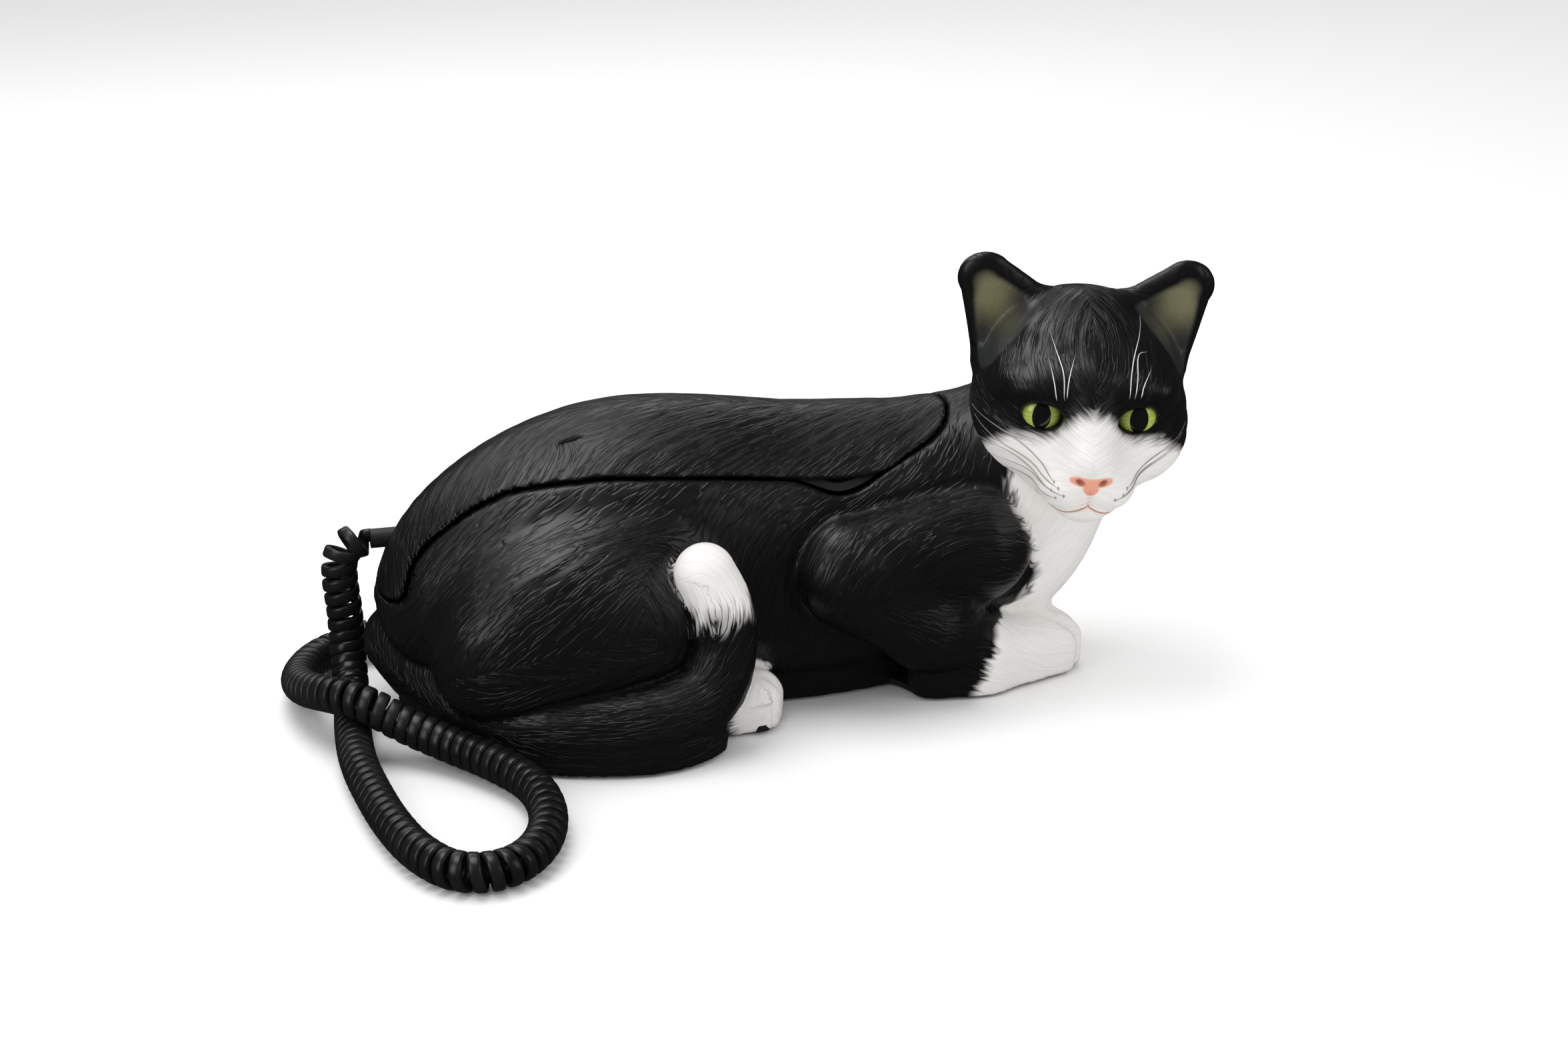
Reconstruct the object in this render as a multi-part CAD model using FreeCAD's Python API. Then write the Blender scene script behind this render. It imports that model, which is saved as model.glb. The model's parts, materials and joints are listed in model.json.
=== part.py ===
import FreeCAD, Part

import math
import os

os.makedirs("parts", exist_ok=True)

V = FreeCAD.Vector

# A telephone shaped as a cat lying down. The cat's back is the handset, which lifts straight up off the
# base. X runs from the rump to the chest, Y to the cat's left, Z up, in millimetres. The shapes are worked
# out in the cat's own frame and moved by (-CENTRE_X, -CENTRE_Y, 0) when they are written, so that the
# origin is under the middle of the whole telephone, on the surface that it stands on.

CENTRE_X = 37.9
CENTRE_Y = -4.9

# ---- driving dimensions ----
WALL = 2.5  # wall of every plastic casing
FIT = 0.4  # half of the gap between the handset and the base
FLOOR_GAP = 1.0  # the casing's lower edge above the desk
COVER_T = 2.2  # bottom cover
COVER_Z = 1.2  # underside of the bottom cover, where the feet are stuck
CRADLE_DROP = 5.0  # how far the cradle plate lies below the seam
KEY_X = 8.0  # key size along the handset
KEY_Y = 9.6  # and across it
KEY_PITCH_X = 11.0
KEY_PITCH_Y = 12.4
KEY_ROW_X = 8.0  # first row, nearest the receiver
PAD_Z = 91.6  # underside of the keypad plate
PAD_T = 1.5
KEY_PROUD = 2.0
CORD_D = 13.0  # outer diameter of the curly cord

# Side view of the seam between handset and base, from the rump to the neck.
SEAM = (
    (-136, 47), (-118, 47.5), (-107, 50.5), (-102.5, 61), (-97, 69), (-87, 77.5), (-76, 84), (-63, 88.6),
    (-37, 91.3), (-10, 90), (14, 87.2), (32, 84), (41, 80.8), (48, 78.6), (55.5, 79.6), (64, 83),
    (74.5, 87.8), (86, 92.6), (93, 97.5), (98.5, 105), (101.5, 114), (102.5, 126),
)

# Tail: centre line and radius, from the rump round the near haunch to the upturned tip.
TAIL = (
    (-104, -2, 28, 14), (-96, -18, 21, 14.2), (-82, -40, 16, 14.5), (-60, -59, 14.5, 14),
    (-31, -67, 14.8, 13.7), (-9, -63, 21, 12.5), (-1, -60, 36, 11.5), (-2, -59, 52, 11.5), (-7, -58, 64, 11),
)

# Curly cord: from the handset's rump end down to the desk, round a loose loop and back to the base's jack.
CORD_ROUTE = (
    (-112, 14, 61), (-118.5, 14, 61), (-123.2, 15, 55.5), (-123.6, 15.5, 46), (-122.4, 15.3, 35),
    (-122.2, 15, 24), (-122.4, 9, 12), (-123.8, -8, 6.8), (-126.5, -32, 6.8), (-127.5, -57, 6.8), (-125.5, -82, 6.8),
    (-122.5, -106, 6.8), (-117, -129, 6.8), (-107, -146, 6.8), (-91, -147, 6.8), (-78, -133, 6.8),
    (-71.5, -111, 6.8), (-73, -89, 7.4), (-84, -70, 8.5), (-97, -54, 9.5), (-110, -44, 13.5),
    (-122, -38, 20.4), (-132, -28, 20.4), (-140.5, -5, 14), (-140.5, 20, 8), (-133, 39, 6.8),
    (-121, 48, 7.5), (-109, 49, 10), (-99, 46, 12.5),
)


# ---- distance fields: negative inside, in millimetres ----
def turn(yaw, pitch, roll):
    """Columns of a rotation that rolls, then pitches the nose up, then yaws, all in degrees."""
    y, p, r = math.radians(yaw), math.radians(-pitch), math.radians(roll)
    cy, sy, cp, sp, cr, sr = math.cos(y), math.sin(y), math.cos(p), math.sin(p), math.cos(r), math.sin(r)
    return (
        (cy * cp, cy * sp * sr - sy * cr, cy * sp * cr + sy * sr),
        (sy * cp, sy * sp * sr + cy * cr, sy * sp * cr - cy * sr),
        (-sp, cp * sr, cp * cr),
    )


def ellipsoid(p, centre, radii, m=None):
    """About how far p is outside an ellipsoid."""
    x, y, z = p[0] - centre[0], p[1] - centre[1], p[2] - centre[2]
    if m:
        x, y, z = (m[0][i] * x + m[1][i] * y + m[2][i] * z for i in range(3))
    a, b, c = x / radii[0], y / radii[1], z / radii[2]
    k0 = math.sqrt(a * a + b * b + c * c)
    k1 = math.sqrt((a / radii[0]) ** 2 + (b / radii[1]) ** 2 + (c / radii[2]) ** 2) + 1e-9
    return k0 * (k0 - 1) / k1


def cone(p, a, b):
    """How far p is outside the round cone from a to b, each (x, y, z, radius)."""
    d = (b[0] - a[0], b[1] - a[1], b[2] - a[2])
    q = (p[0] - a[0], p[1] - a[1], p[2] - a[2])
    t = (q[0] * d[0] + q[1] * d[1] + q[2] * d[2]) / (d[0] ** 2 + d[1] ** 2 + d[2] ** 2)
    t = min(1, max(0, t))
    away = math.sqrt(sum((q[i] - t * d[i]) ** 2 for i in range(3)))
    return away - a[3] - (b[3] - a[3]) * t


def blend(a, b, k):
    """The lower of two distances, rounded over k where they are alike."""
    h = min(1, max(0, 0.5 + 0.5 * (b - a) / k))
    return b + (a - b) * h - k * h * (1 - h)


def smooth_path(points, steps):
    """Points of a Catmull-Rom curve through the given ones."""
    ends = [points[0]] + list(points) + [points[-1]]
    out = []
    for a, b, c, d in zip(ends, ends[1:], ends[2:], ends[3:]):
        for k in range(steps):
            t = k / steps
            out.append(tuple(
                0.5 * (2 * q + (r - p) * t + (2 * p - 5 * q + 4 * r - s) * t**2 + (3 * q - p - 3 * r + s) * t**3)
                for p, q, r, s in zip(a, b, c, d)
            ))
    return out + [tuple(points[-1])]


TAIL_LINE = smooth_path(TAIL, 3)
TRUNK = (
    ((-30, 3, 55), (60, 48, 48.5), turn(4, -2, 0), 0),
    ((-69, -4, 40), (45, 45, 43.5), turn(10, 24, 0), 25),
    ((24, 4, 54), (88, 43, 49), turn(0, -1, 0), 30),
    ((90, 0, 50), (54, 37, 46), None, 25),
    ((36, 0, 30), (52, 40, 26), None, 16),
    ((128, -6, 58), (26, 27, 36), turn(0, -20, 0), 16),
)
HAUNCHES = tuple(((-44, s * 40, 38), (56, 31, 41), turn(-s * 8, 6, 0)) for s in (-1, 1))
ARMS = tuple(
    ((50, s * 37, 54, 17.5), (98, s * 31, 56, 22), (80, s * 37, 28, 16), (100, s * 32, 16, 13.5),
     (116, s * 27, 12.5, 12.5)) for s in (-1, 1)
)
PAWS = tuple(((127, s * 17 - 5, 11), (18, 13.5, 12.5), turn(-s * 4, 0, 0)) for s in (-1, 1))
HIND_PAWS = tuple(((-25, s * 48, 10, 12), (13, s * 44, 9.5, 11.5)) for s in (-1, 1))
FOOT_LEVEL = 12.0  # below this the casing's sides go straight down
SKIN_FLOOR = -16.0  # and the skin closes here, under the desk's level, before it is cut


def body_field(p):
    """The lying body with its legs and tail, with straight sides near the desk."""
    floor_z = p[2]
    p = (p[0], p[1], max(p[2], FOOT_LEVEL))
    d = ellipsoid(p, *TRUNK[0][:3])
    for centre, radii, m, k in TRUNK[1:]:
        d = blend(d, ellipsoid(p, centre, radii, m), k)
    d = blend(d, cone(p, (112, -2, 68, 32), (136, -12, 90, 28)), 18)
    for haunch, arm, paw, hind in zip(HAUNCHES, ARMS, PAWS, HIND_PAWS):
        d = blend(d, ellipsoid(p, *haunch), 7)
        leg = blend(cone(p, arm[0], arm[1]), cone(p, (50, arm[0][1], 50, 17), arm[2]), 6)
        leg = blend(blend(leg, cone(p, arm[2], arm[3]), 6), cone(p, arm[3], arm[4]), 6)
        d = blend(d, leg, 6)
        d = blend(d, ellipsoid(p, *paw), 6)
        d = blend(d, cone(p, *hind), 4)
    tail = min(cone(p, a, b) for a, b in zip(TAIL_LINE, TAIL_LINE[1:]))
    return max(blend(d, tail, 2.5), SKIN_FLOOR - floor_z)


# Head: its own frame has X out of the face, Y to the cat's left and Z up.
HEAD_AT = (145, -18, 103)
HEAD_SIZE = 1.04
HEAD_YAW = -110


def head_field(p):
    """The head without its ears, in its own frame."""
    p = (p[0], abs(p[1]), p[2])
    d = ellipsoid(p, (-2, 0, 3), (36, 36, 33))
    d = blend(d, ellipsoid(p, (8, 19, -10), (21, 18, 17)), 12)
    d = blend(d, ellipsoid(p, (27, 0, -17), (20, 17, 14)), 10)
    d = blend(d, ellipsoid(p, (37, 8, -20), (10, 9, 8.5)), 4)
    d = blend(d, ellipsoid(p, (30, 0, -30), (11, 9, 8)), 5)
    d = blend(d, cone(p, (28, 0, 12, 9), (42, 0, -10, 7.5)), 7)
    return blend(d, ellipsoid(p, (24, 17, 12), (12, 14, 8)), 8)


def reach(field, centre, direction, level, furthest):
    """Distance from centre at which a ray coming inwards meets the surface at that level."""
    t = furthest
    for _ in range(60):
        p = tuple(c + t * d for c, d in zip(centre, direction))
        gap = field(p) - level
        if gap < 0.02:
            break
        t -= 0.85 * gap
        if t < 1.5:
            break
    return max(t, 1.5)


def poles_for(rows, closed):
    """Control points that make a uniform cubic curve pass close to each row of points."""
    out = [list(row) for row in rows]
    for _ in range(2):
        for row, poles in zip(rows, out):
            n = len(row)
            before = list(poles)
            for i in range(0 if closed else 1, n if closed else n - 1):
                mean = (before[i - 1] + before[i] * 4 + before[(i + 1) % n]) * (1 / 6)
                poles[i] = before[i] + row[i] - mean
    return out


def skin(rings):
    """A closed solid whose side runs smoothly through rings of points, with flat ends."""
    rings = poles_for(rings, True)
    columns = poles_for([list(c) for c in zip(*rings)], False)
    rings = [list(r) for r in zip(*columns)]
    n, m = len(rings), len(rings[0])
    surface = Part.BSplineSurface()
    surface.buildFromPolesMultsKnots(
        rings, [4] + [1] * (n - 4) + [4], [1] * (m + 1), [float(i) for i in range(n - 2)],
        [float(i) for i in range(m + 1)], False, True, 3, 3,
    )
    side = surface.toShape()
    ends = []
    for v in (0.0, float(n - 3)):
        ends.append(Part.Face(Part.Wire(surface.uIso(v).toShape())))
    shell = Part.makeShell([side] + ends)
    shell.sewShape()
    solid = Part.makeSolid(shell)
    if solid.Volume < 0:
        solid.reverse()
    return solid


RAYS = 36
# The rays that find the body's skin start on a straight spine.
SPINE_X = (-66, -57, -49, -40, -31, -22, -14, -6, 2, 10, 19, 29, 39, 49, 59, 69, 79, 89, 99, 107)
FAN = (12, 24, 36, 47, 58, 69, 80)
SPINE_Y = -3
SPINE_Z = 38


def slant(field, point, direction):
    """How squarely a ray meets the surface at a point: 1 is square on, 0 is grazing."""
    step = 0.5
    rises = []
    for i in range(3):
        ahead = tuple(c + step * (i == k) for k, c in enumerate(point))
        behind = tuple(c - step * (i == k) for k, c in enumerate(point))
        rises.append(field(ahead) - field(behind))
    return sum(r * d for r, d in zip(rises, direction)) / (math.hypot(*rises) + 1e-9)


def cast(field, rays, furthest):
    """For each ring of rays, its starts, directions, reaches and the inward way through a wall 1 mm thick."""
    rings = []
    for ring in rays:
        found = []
        for start, direction in ring:
            t = reach(field, start, direction, 0, furthest)
            point = tuple(c + t * d for c, d in zip(start, direction))
            found.append([V(*start), V(*direction), t, 1 / max(0.4, slant(field, point, direction))])
        rings.append(found)
    ways = [[f[3] for f in ring] for ring in rings]
    last, count = len(ways) - 1, len(ways[0])
    for i, ring in enumerate(rings):
        for j, found in enumerate(ring):
            near = [ways[min(max(i + a, 0), last)][(j + b) % count] for a in (-1, 0, 1) for b in (-1, 0, 1)]
            found[3] = sum(near) / 9
    return rings


def skin_under(rings, depth, place, axis):
    """The skin at that depth under the surface that the rays found, with its ends flat across the axis."""
    points = [[place(start + way * (t - depth * thin)) for start, way, t, thin in ring] for ring in rings]
    for end in (0, -1):
        middle = sum(points[end], V(0, 0, 0)) * (1 / len(points[end]))
        points[end] = [p - axis * (p - middle).dot(axis) for p in points[end]]
    return skin(points)


def fan_rays(spine, axis, side_a, side_b):
    """Rays across a spine of points, ring after ring, fanning out along its axis at the two ends."""
    leans = [(spine[0], -a) for a in reversed(FAN)] + [(p, 0) for p in spine] + [(spine[-1], a) for a in FAN]
    rays = []
    for start, lean in leans:
        along, across = math.sin(math.radians(lean)), math.cos(math.radians(lean))
        ring = []
        for i in range(RAYS):
            a = 2 * math.pi * i / RAYS
            u, v = across * math.cos(a), across * math.sin(a)
            ring.append((start, tuple(along * k + u * m + v * n for k, m, n in zip(axis, side_a, side_b))))
        rays.append(ring)
    return rays


def body_rays():
    """Rays across a straight spine from rump to chest."""
    return fan_rays([(x, SPINE_Y, SPINE_Z) for x in SPINE_X], (1, 0, 0), (0, 1, 0), (0, 0, 1))


def head_rays():
    """Rays across a spine from the jaw, which is further out, up to the crown."""
    return fan_rays([(8 - 0.4 * z, 0, z) for z in HEAD_SPINE], (0, 0, 1), (1, 0, 0), (0, 1, 0))


HEAD_SPINE = (-18, -14, -10, -6, -2, 2, 6, 10, 14)


def as_it_is(q):
    return q


def to_world(q):
    """A point of the head's own frame in the cat's frame."""
    a = math.radians(HEAD_YAW)
    x, y, z = (HEAD_SIZE * c for c in q)
    return V(
        HEAD_AT[0] + x * math.cos(a) - y * math.sin(a),
        HEAD_AT[1] + x * math.sin(a) + y * math.cos(a),
        HEAD_AT[2] + z,
    )


HEAD_LEVELS = (-37, -34, -30, -26, -22, -18, -14, -10, -6, -1, 4, 9, 14, 19, 24, 29, 32.5, 35)


def head_loft(level):
    """Skin through level sections of the head."""
    rings = []
    for z in HEAD_LEVELS:
        middle = 8 if z > -24 else 20
        points = []
        for i in range(RAYS):
            a = 2 * math.pi * i / RAYS
            direction = (math.cos(a), math.sin(a), 0)
            t = reach(head_field, (middle, 0, z), direction, level, 70)
            points.append(to_world((middle + t * direction[0], t * direction[1], z)))
        rings.append(points)
    return skin(rings)


# ---- plain solids ----
def box(x0, x1, y0, y1, z0, z1):
    return Part.makeBox(x1 - x0, y1 - y0, z1 - z0, V(x0, y0, z0))


def rod(d, length, at, along=(0, 0, 1)):
    return Part.makeCylinder(d / 2, length, V(*at), V(*along))


def rounded(shape, radius, along):
    """The shape with the edges that run along that axis rounded."""
    edges = [
        e for e in shape.Edges
        if isinstance(e.Curve, Part.Line) and abs(e.tangentAt(e.FirstParameter).dot(V(*along))) > 0.99
    ]
    return shape.makeFillet(radius, edges)


def egg(centre, radii, m=None):
    """A solid ellipsoid in the head's own frame, put in place."""
    ball = Part.makeSphere(1)
    m = m or turn(0, 0, 0)
    a = turn(HEAD_YAW, 0, 0)
    at = to_world(centre)
    both = [[sum(a[i][k] * m[k][j] for k in range(3)) * radii[j] * HEAD_SIZE for j in range(3)] for i in range(3)]
    return ball.transformGeometry(FreeCAD.Matrix(
        both[0][0], both[0][1], both[0][2], at.x,
        both[1][0], both[1][1], both[1][2], at.y,
        both[2][0], both[2][1], both[2][2], at.z,
        0, 0, 0, 1,
    ))


def seam_height(x):
    for (x0, z0), (x1, z1) in zip(SEAM, SEAM[1:]):
        if x0 <= x <= x1:
            return z0 + (z1 - z0) * (x - x0) / (x1 - x0)
    return SEAM[-1][1]


def seam_edge(offset):
    """The seam's side view, moved square to itself."""
    points = []
    for i, (x, z) in enumerate(SEAM):
        a, b = SEAM[max(i - 1, 0)], SEAM[min(i + 1, len(SEAM) - 1)]
        dx, dz = b[0] - a[0], b[1] - a[1]
        long = math.hypot(dx, dz)
        points.append(V(x - offset * dz / long, 0, z + offset * dx / long))
    curve = Part.BSplineCurve()
    curve.interpolate(Points=points)
    return curve, points


def above_seam(offset):
    """Everything over the seam, between two far side walls."""
    curve, points = seam_edge(offset)
    top = 150
    corners = [points[-1], V(points[-1].x, 0, top), V(points[0].x, 0, top), points[0]]
    edges = [curve.toShape()] + [Part.makeLine(a, b) for a, b in zip(corners, corners[1:])]
    face = Part.Face(Part.Wire(edges))
    face.translate(V(0, -90, 0))
    return face.extrude(V(0, 180, 0))


def seam_band(low, high):
    """The layer between two offsets of the seam."""
    return above_seam(low).cut(above_seam(high))


# ---- casings ----
# The cord's housing is a tab of the handset that reaches down through a notch in the base.
TAB = (-130, -88, 5.5, 22.5, 53, 76)
TAB_WALL = 2.0

MID_Y = 3.0  # middle of the handset across
KEYPAD_X = (-42, 16)
KEYPAD_HALF_Y = 19.0
MAT_Z = PAD_Z + 4.0
BOARD_Z = MAT_Z + 0.7
BOARD_T = 1.6
RECEIVER = (57, MID_Y, 90.6)
RECEIVER_D = 26.0
MIC = (-70, MID_Y, 88.0)
MIC_D = 6.0
MIC_T = 2.7
PLUNGER = (20, MID_Y)
PLUNGER_D = 5.0
PLUNGER_Z = (58.0, 85.2)
SWITCH_Z = (49.5, 73.5)
MAIN_BOARD = (-60, 40, -18, 19)
MAIN_BOARD_Z = 20.0
SPEAKER = (72, 2)
SPEAKER_D = 40.0
BALLAST = (-50, 30, -16, 22)
BALLAST_T = 5.0
LINE_JACK = (30, 14)
JACK_D = 14.0
SLIDER_X = 104
SLIDER_Y = (-12, 12)
SLIDER_TRAVEL = 6.0
BOSS_X = (-60, 60)
INSIDE_Z = COVER_Z + COVER_T


def tab(grow, wall=0.0):
    """The block of space that the handset's tab takes up."""
    x0, x1, y0, y1, z0, z1 = TAB
    grow -= wall
    return box(x0, x1 + grow, y0 - grow, y1 + grow, z0 - grow, z1)


def largest(shape):
    """The biggest solid of a shape, without the slivers that a cut may leave."""
    return max(shape.Solids, key=lambda s: s.Volume)


def joined(shapes):
    first, *others = shapes
    return first.fuse(others) if others else first


def without(shape, cuts):
    return shape.cut(joined(list(cuts)))


def skin_at(start, direction):
    """Where a ray from inside the body comes out of its skin."""
    t = reach(body_field, start, direction, 0, 130)
    return tuple(s + t * d for s, d in zip(start, direction))


def screw(x, y, z, length, head_d=5.6, head_t=1.2, shaft_d=2.8, up=True):
    """A screw driven upwards from its head's face, or downwards."""
    way = 1 if up else -1
    head = rod(head_d, head_t, (x, y, z), (0, 0, way))
    return head.fuse(rod(shaft_d, length, (x, y, z), (0, 0, way)))


def boss_places():
    """The cover's screws, just inside the casing's side walls."""
    places = []
    for x in BOSS_X:
        for side in (-1, 1):
            y = skin_at((x, SPINE_Y, FOOT_LEVEL), (0, side, 0))[1]
            places.append((x, y - side * 5.8))
    return places


def key_places():
    """Name and middle of each key, row by row from the receiver end."""
    names = ("1", "2", "3", "4", "5", "6", "7", "8", "9", "star", "0", "hash")
    places = []
    for i, name in enumerate(names):
        row, column = divmod(i, 3)
        places.append(("key_" + name, KEY_ROW_X - row * KEY_PITCH_X, MID_Y + (column - 1) * KEY_PITCH_Y))
    last = KEY_ROW_X - 4 * KEY_PITCH_X
    for column, name in enumerate(("redial", "mute", "flash")):
        places.append(("key_" + name, last, MID_Y + (column - 1) * KEY_PITCH_Y))
    return places


def cord_end(first):
    """The cord's end point and the way out of the cord there."""
    a, b = (CORD_ROUTE[0], CORD_ROUTE[1]) if first else (CORD_ROUTE[-1], CORD_ROUTE[-2])
    way = V(*a) - V(*b)
    return V(*a), way * (1 / way.Length)


def plug(first, length, d=7.0):
    at, way = cord_end(first)
    return Part.makeCylinder(d / 2, length, at, way)


def make_handset(shell, fitted, outer):
    """The shell, the underside pan and everything fixed in them."""
    parts = {}
    over = above_seam(FIT).fuse(tab(-FIT))
    handset = shell.common(over)
    core = tab(-FIT, TAB_WALL)
    under = joined([seam_band(FIT, FIT + WALL).cut(core), tab(-FIT).cut(core).cut(above_seam(FIT))])
    pan = fitted.common(under)
    x0, x1 = KEYPAD_X
    y0, y1 = MID_Y - KEYPAD_HALF_Y, MID_Y + KEYPAD_HALF_Y
    tray = box(x0 - 1.5, x1 + 1.5, y0 - 1.5, y1 + 1.5, 80, PAD_Z + PAD_T).common(above_seam(FIT))
    ledge = box(x0 - 1.5, x0 + 0.6, y0 + 2, y1 - 2, PAD_Z + 1, BOARD_Z)
    posts = [(x1 + 5, y) for y in (y0 + 6.5, y1 - 6.5)]
    pan = joined([pan, tray, ledge] + [
        rod(5, BOARD_Z - seam_height(x) - 1.5, (x, y, seam_height(x) + 1.5)) for x, y in posts
    ])
    rx, ry, rz = RECEIVER
    mx, my, mz = MIC
    pan = joined([pan, rod(RECEIVER_D, rz - 0.6 - seam_height(rx) - 1.5, (rx, ry, seam_height(rx) + 1.5))])
    low = above_seam(FIT + WALL)
    pan = pan.cut(rod(RECEIVER_D - 3, 40, (rx, ry, 70)).common(low))
    cuts = [box(x0, x1, y0, y1, 80, PAD_Z), box(x0 + 0.6, x1, y0, y1, PAD_Z + PAD_T, 110)]
    cuts += [
        box(x - KEY_X / 2 - 0.3, x + KEY_X / 2 + 0.3, y - KEY_Y / 2 - 0.3, y + KEY_Y / 2 + 0.3, 80, 96)
        for _, x, y in key_places()
    ]
    cuts += [rod(1.6, 6, (x, y, BOARD_Z - 6)) for x, y in posts]
    cuts += [rod(2.2, 20, (rx, ry, 70))] + [
        rod(2.2, 20, (rx + 6 * math.cos(k * math.pi / 3), ry + 6 * math.sin(k * math.pi / 3), 70))
        for k in range(6)
    ]
    cuts += [rod(1.5, 20, (mx, my, mz - 15)), rod(MIC_D + 2.6, 6, (mx, my, mz - 1))]
    fixings = [(34, MID_Y - 11), (34, MID_Y + 11)]
    bosses = []
    for x, y in fixings:
        floor = seam_height(x) + 4.5
        top = skin_at((x, y, 60), (0, 0, 1))[2]
        bosses.append(rod(6.5, top - 1.2 - floor, (x, y, floor)).cut(rod(2.4, 8, (x, y, floor))))
        cuts += [rod(2.9, 14, (x, y, seam_height(x) - 8)), rod(5.4, 10, (x, y, seam_height(x) - 8.3))]
    pan = largest(without(pan, cuts))
    handset = joined([largest(handset)] + bosses).cut(pan)
    at, way = cord_end(True)
    seat = at + way * 12.5
    jack = box(seat.x, seat.x + 7.5, seat.y - 5.5, seat.y + 5.5, seat.z - 5, seat.z + 5.5)
    exit_rod = plug(True, 20, 7.6)
    parts["handset_shell"] = largest(handset.cut(exit_rod).cut(jack))
    parts["handset_pan"] = largest(pan.cut(exit_rod).cut(jack))
    parts["handset_screws"] = Part.makeCompound([
        largest(screw(x, y, seam_height(x) + 0.4, 10.5, 5, 1.2, 2.4).cut(handset).cut(pan)) for x, y in fixings
    ])
    board = (x0 - 1.5, x1 + 8, y0 + 1.5, y1 - 1.5)
    parts["handset_board"] = without(
        box(*board, BOARD_Z, BOARD_Z + BOARD_T), [handset] + [rod(1.6, 4, (x, y, BOARD_Z - 1)) for x, y in posts]
    )
    parts["handset_board_screws"] = Part.makeCompound([
        screw(x, y, BOARD_Z + BOARD_T + 0.8, 6.4, 3.2, 0.8, 1.6, up=False) for x, y in posts
    ])
    parts["key_mat"] = box(x0 + 1, x1 - 1, y0 + 1.5, y1 - 1.5, MAT_Z, BOARD_Z)
    ring_gap = rod(RECEIVER_D, 0.6, (rx, ry, rz - 0.6))
    parts["receiver_gasket"] = ring_gap.cut(rod(RECEIVER_D - 6, 2, (rx, ry, rz - 1)))
    parts["receiver_capsule"] = rod(RECEIVER_D, 5.5, (rx, ry, rz))
    boot = rod(MIC_D + 2.5, MIC_T + 1, (mx, my, mz - 1))
    parts["microphone_boot"] = boot.cut(handset).cut(rod(MIC_D, 6, (mx, my, mz))).cut(rod(2, 4, (mx, my, mz - 2)))
    parts["microphone_capsule"] = rod(MIC_D, MIC_T, (mx, my, mz))
    parts["handset_jack"] = jack.common(core).cut(plug(True, 30))
    parts["cord_plug_handset"] = plug(True, 14)
    return parts


def make_keys():
    """Each key: its cap through the plate and the flange that keeps it in."""
    keys = {}
    for name, x, y in key_places():
        cap = box(x - KEY_X / 2, x + KEY_X / 2, y - KEY_Y / 2, y + KEY_Y / 2, PAD_Z - KEY_PROUD, PAD_Z + 2.7)
        cap = rounded(cap, 1.6, (0, 0, 1))
        rim = [e for e in cap.Edges if e.BoundBox.ZMax < PAD_Z - KEY_PROUD + 0.01]
        cap = cap.makeFillet(0.6, rim)
        flange = box(x - 5, x + 5, y - 5.8, y + 5.8, PAD_Z + PAD_T + 0.1, PAD_Z + 2.7)
        keys[name] = cap.fuse(flange)
    return keys


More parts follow.
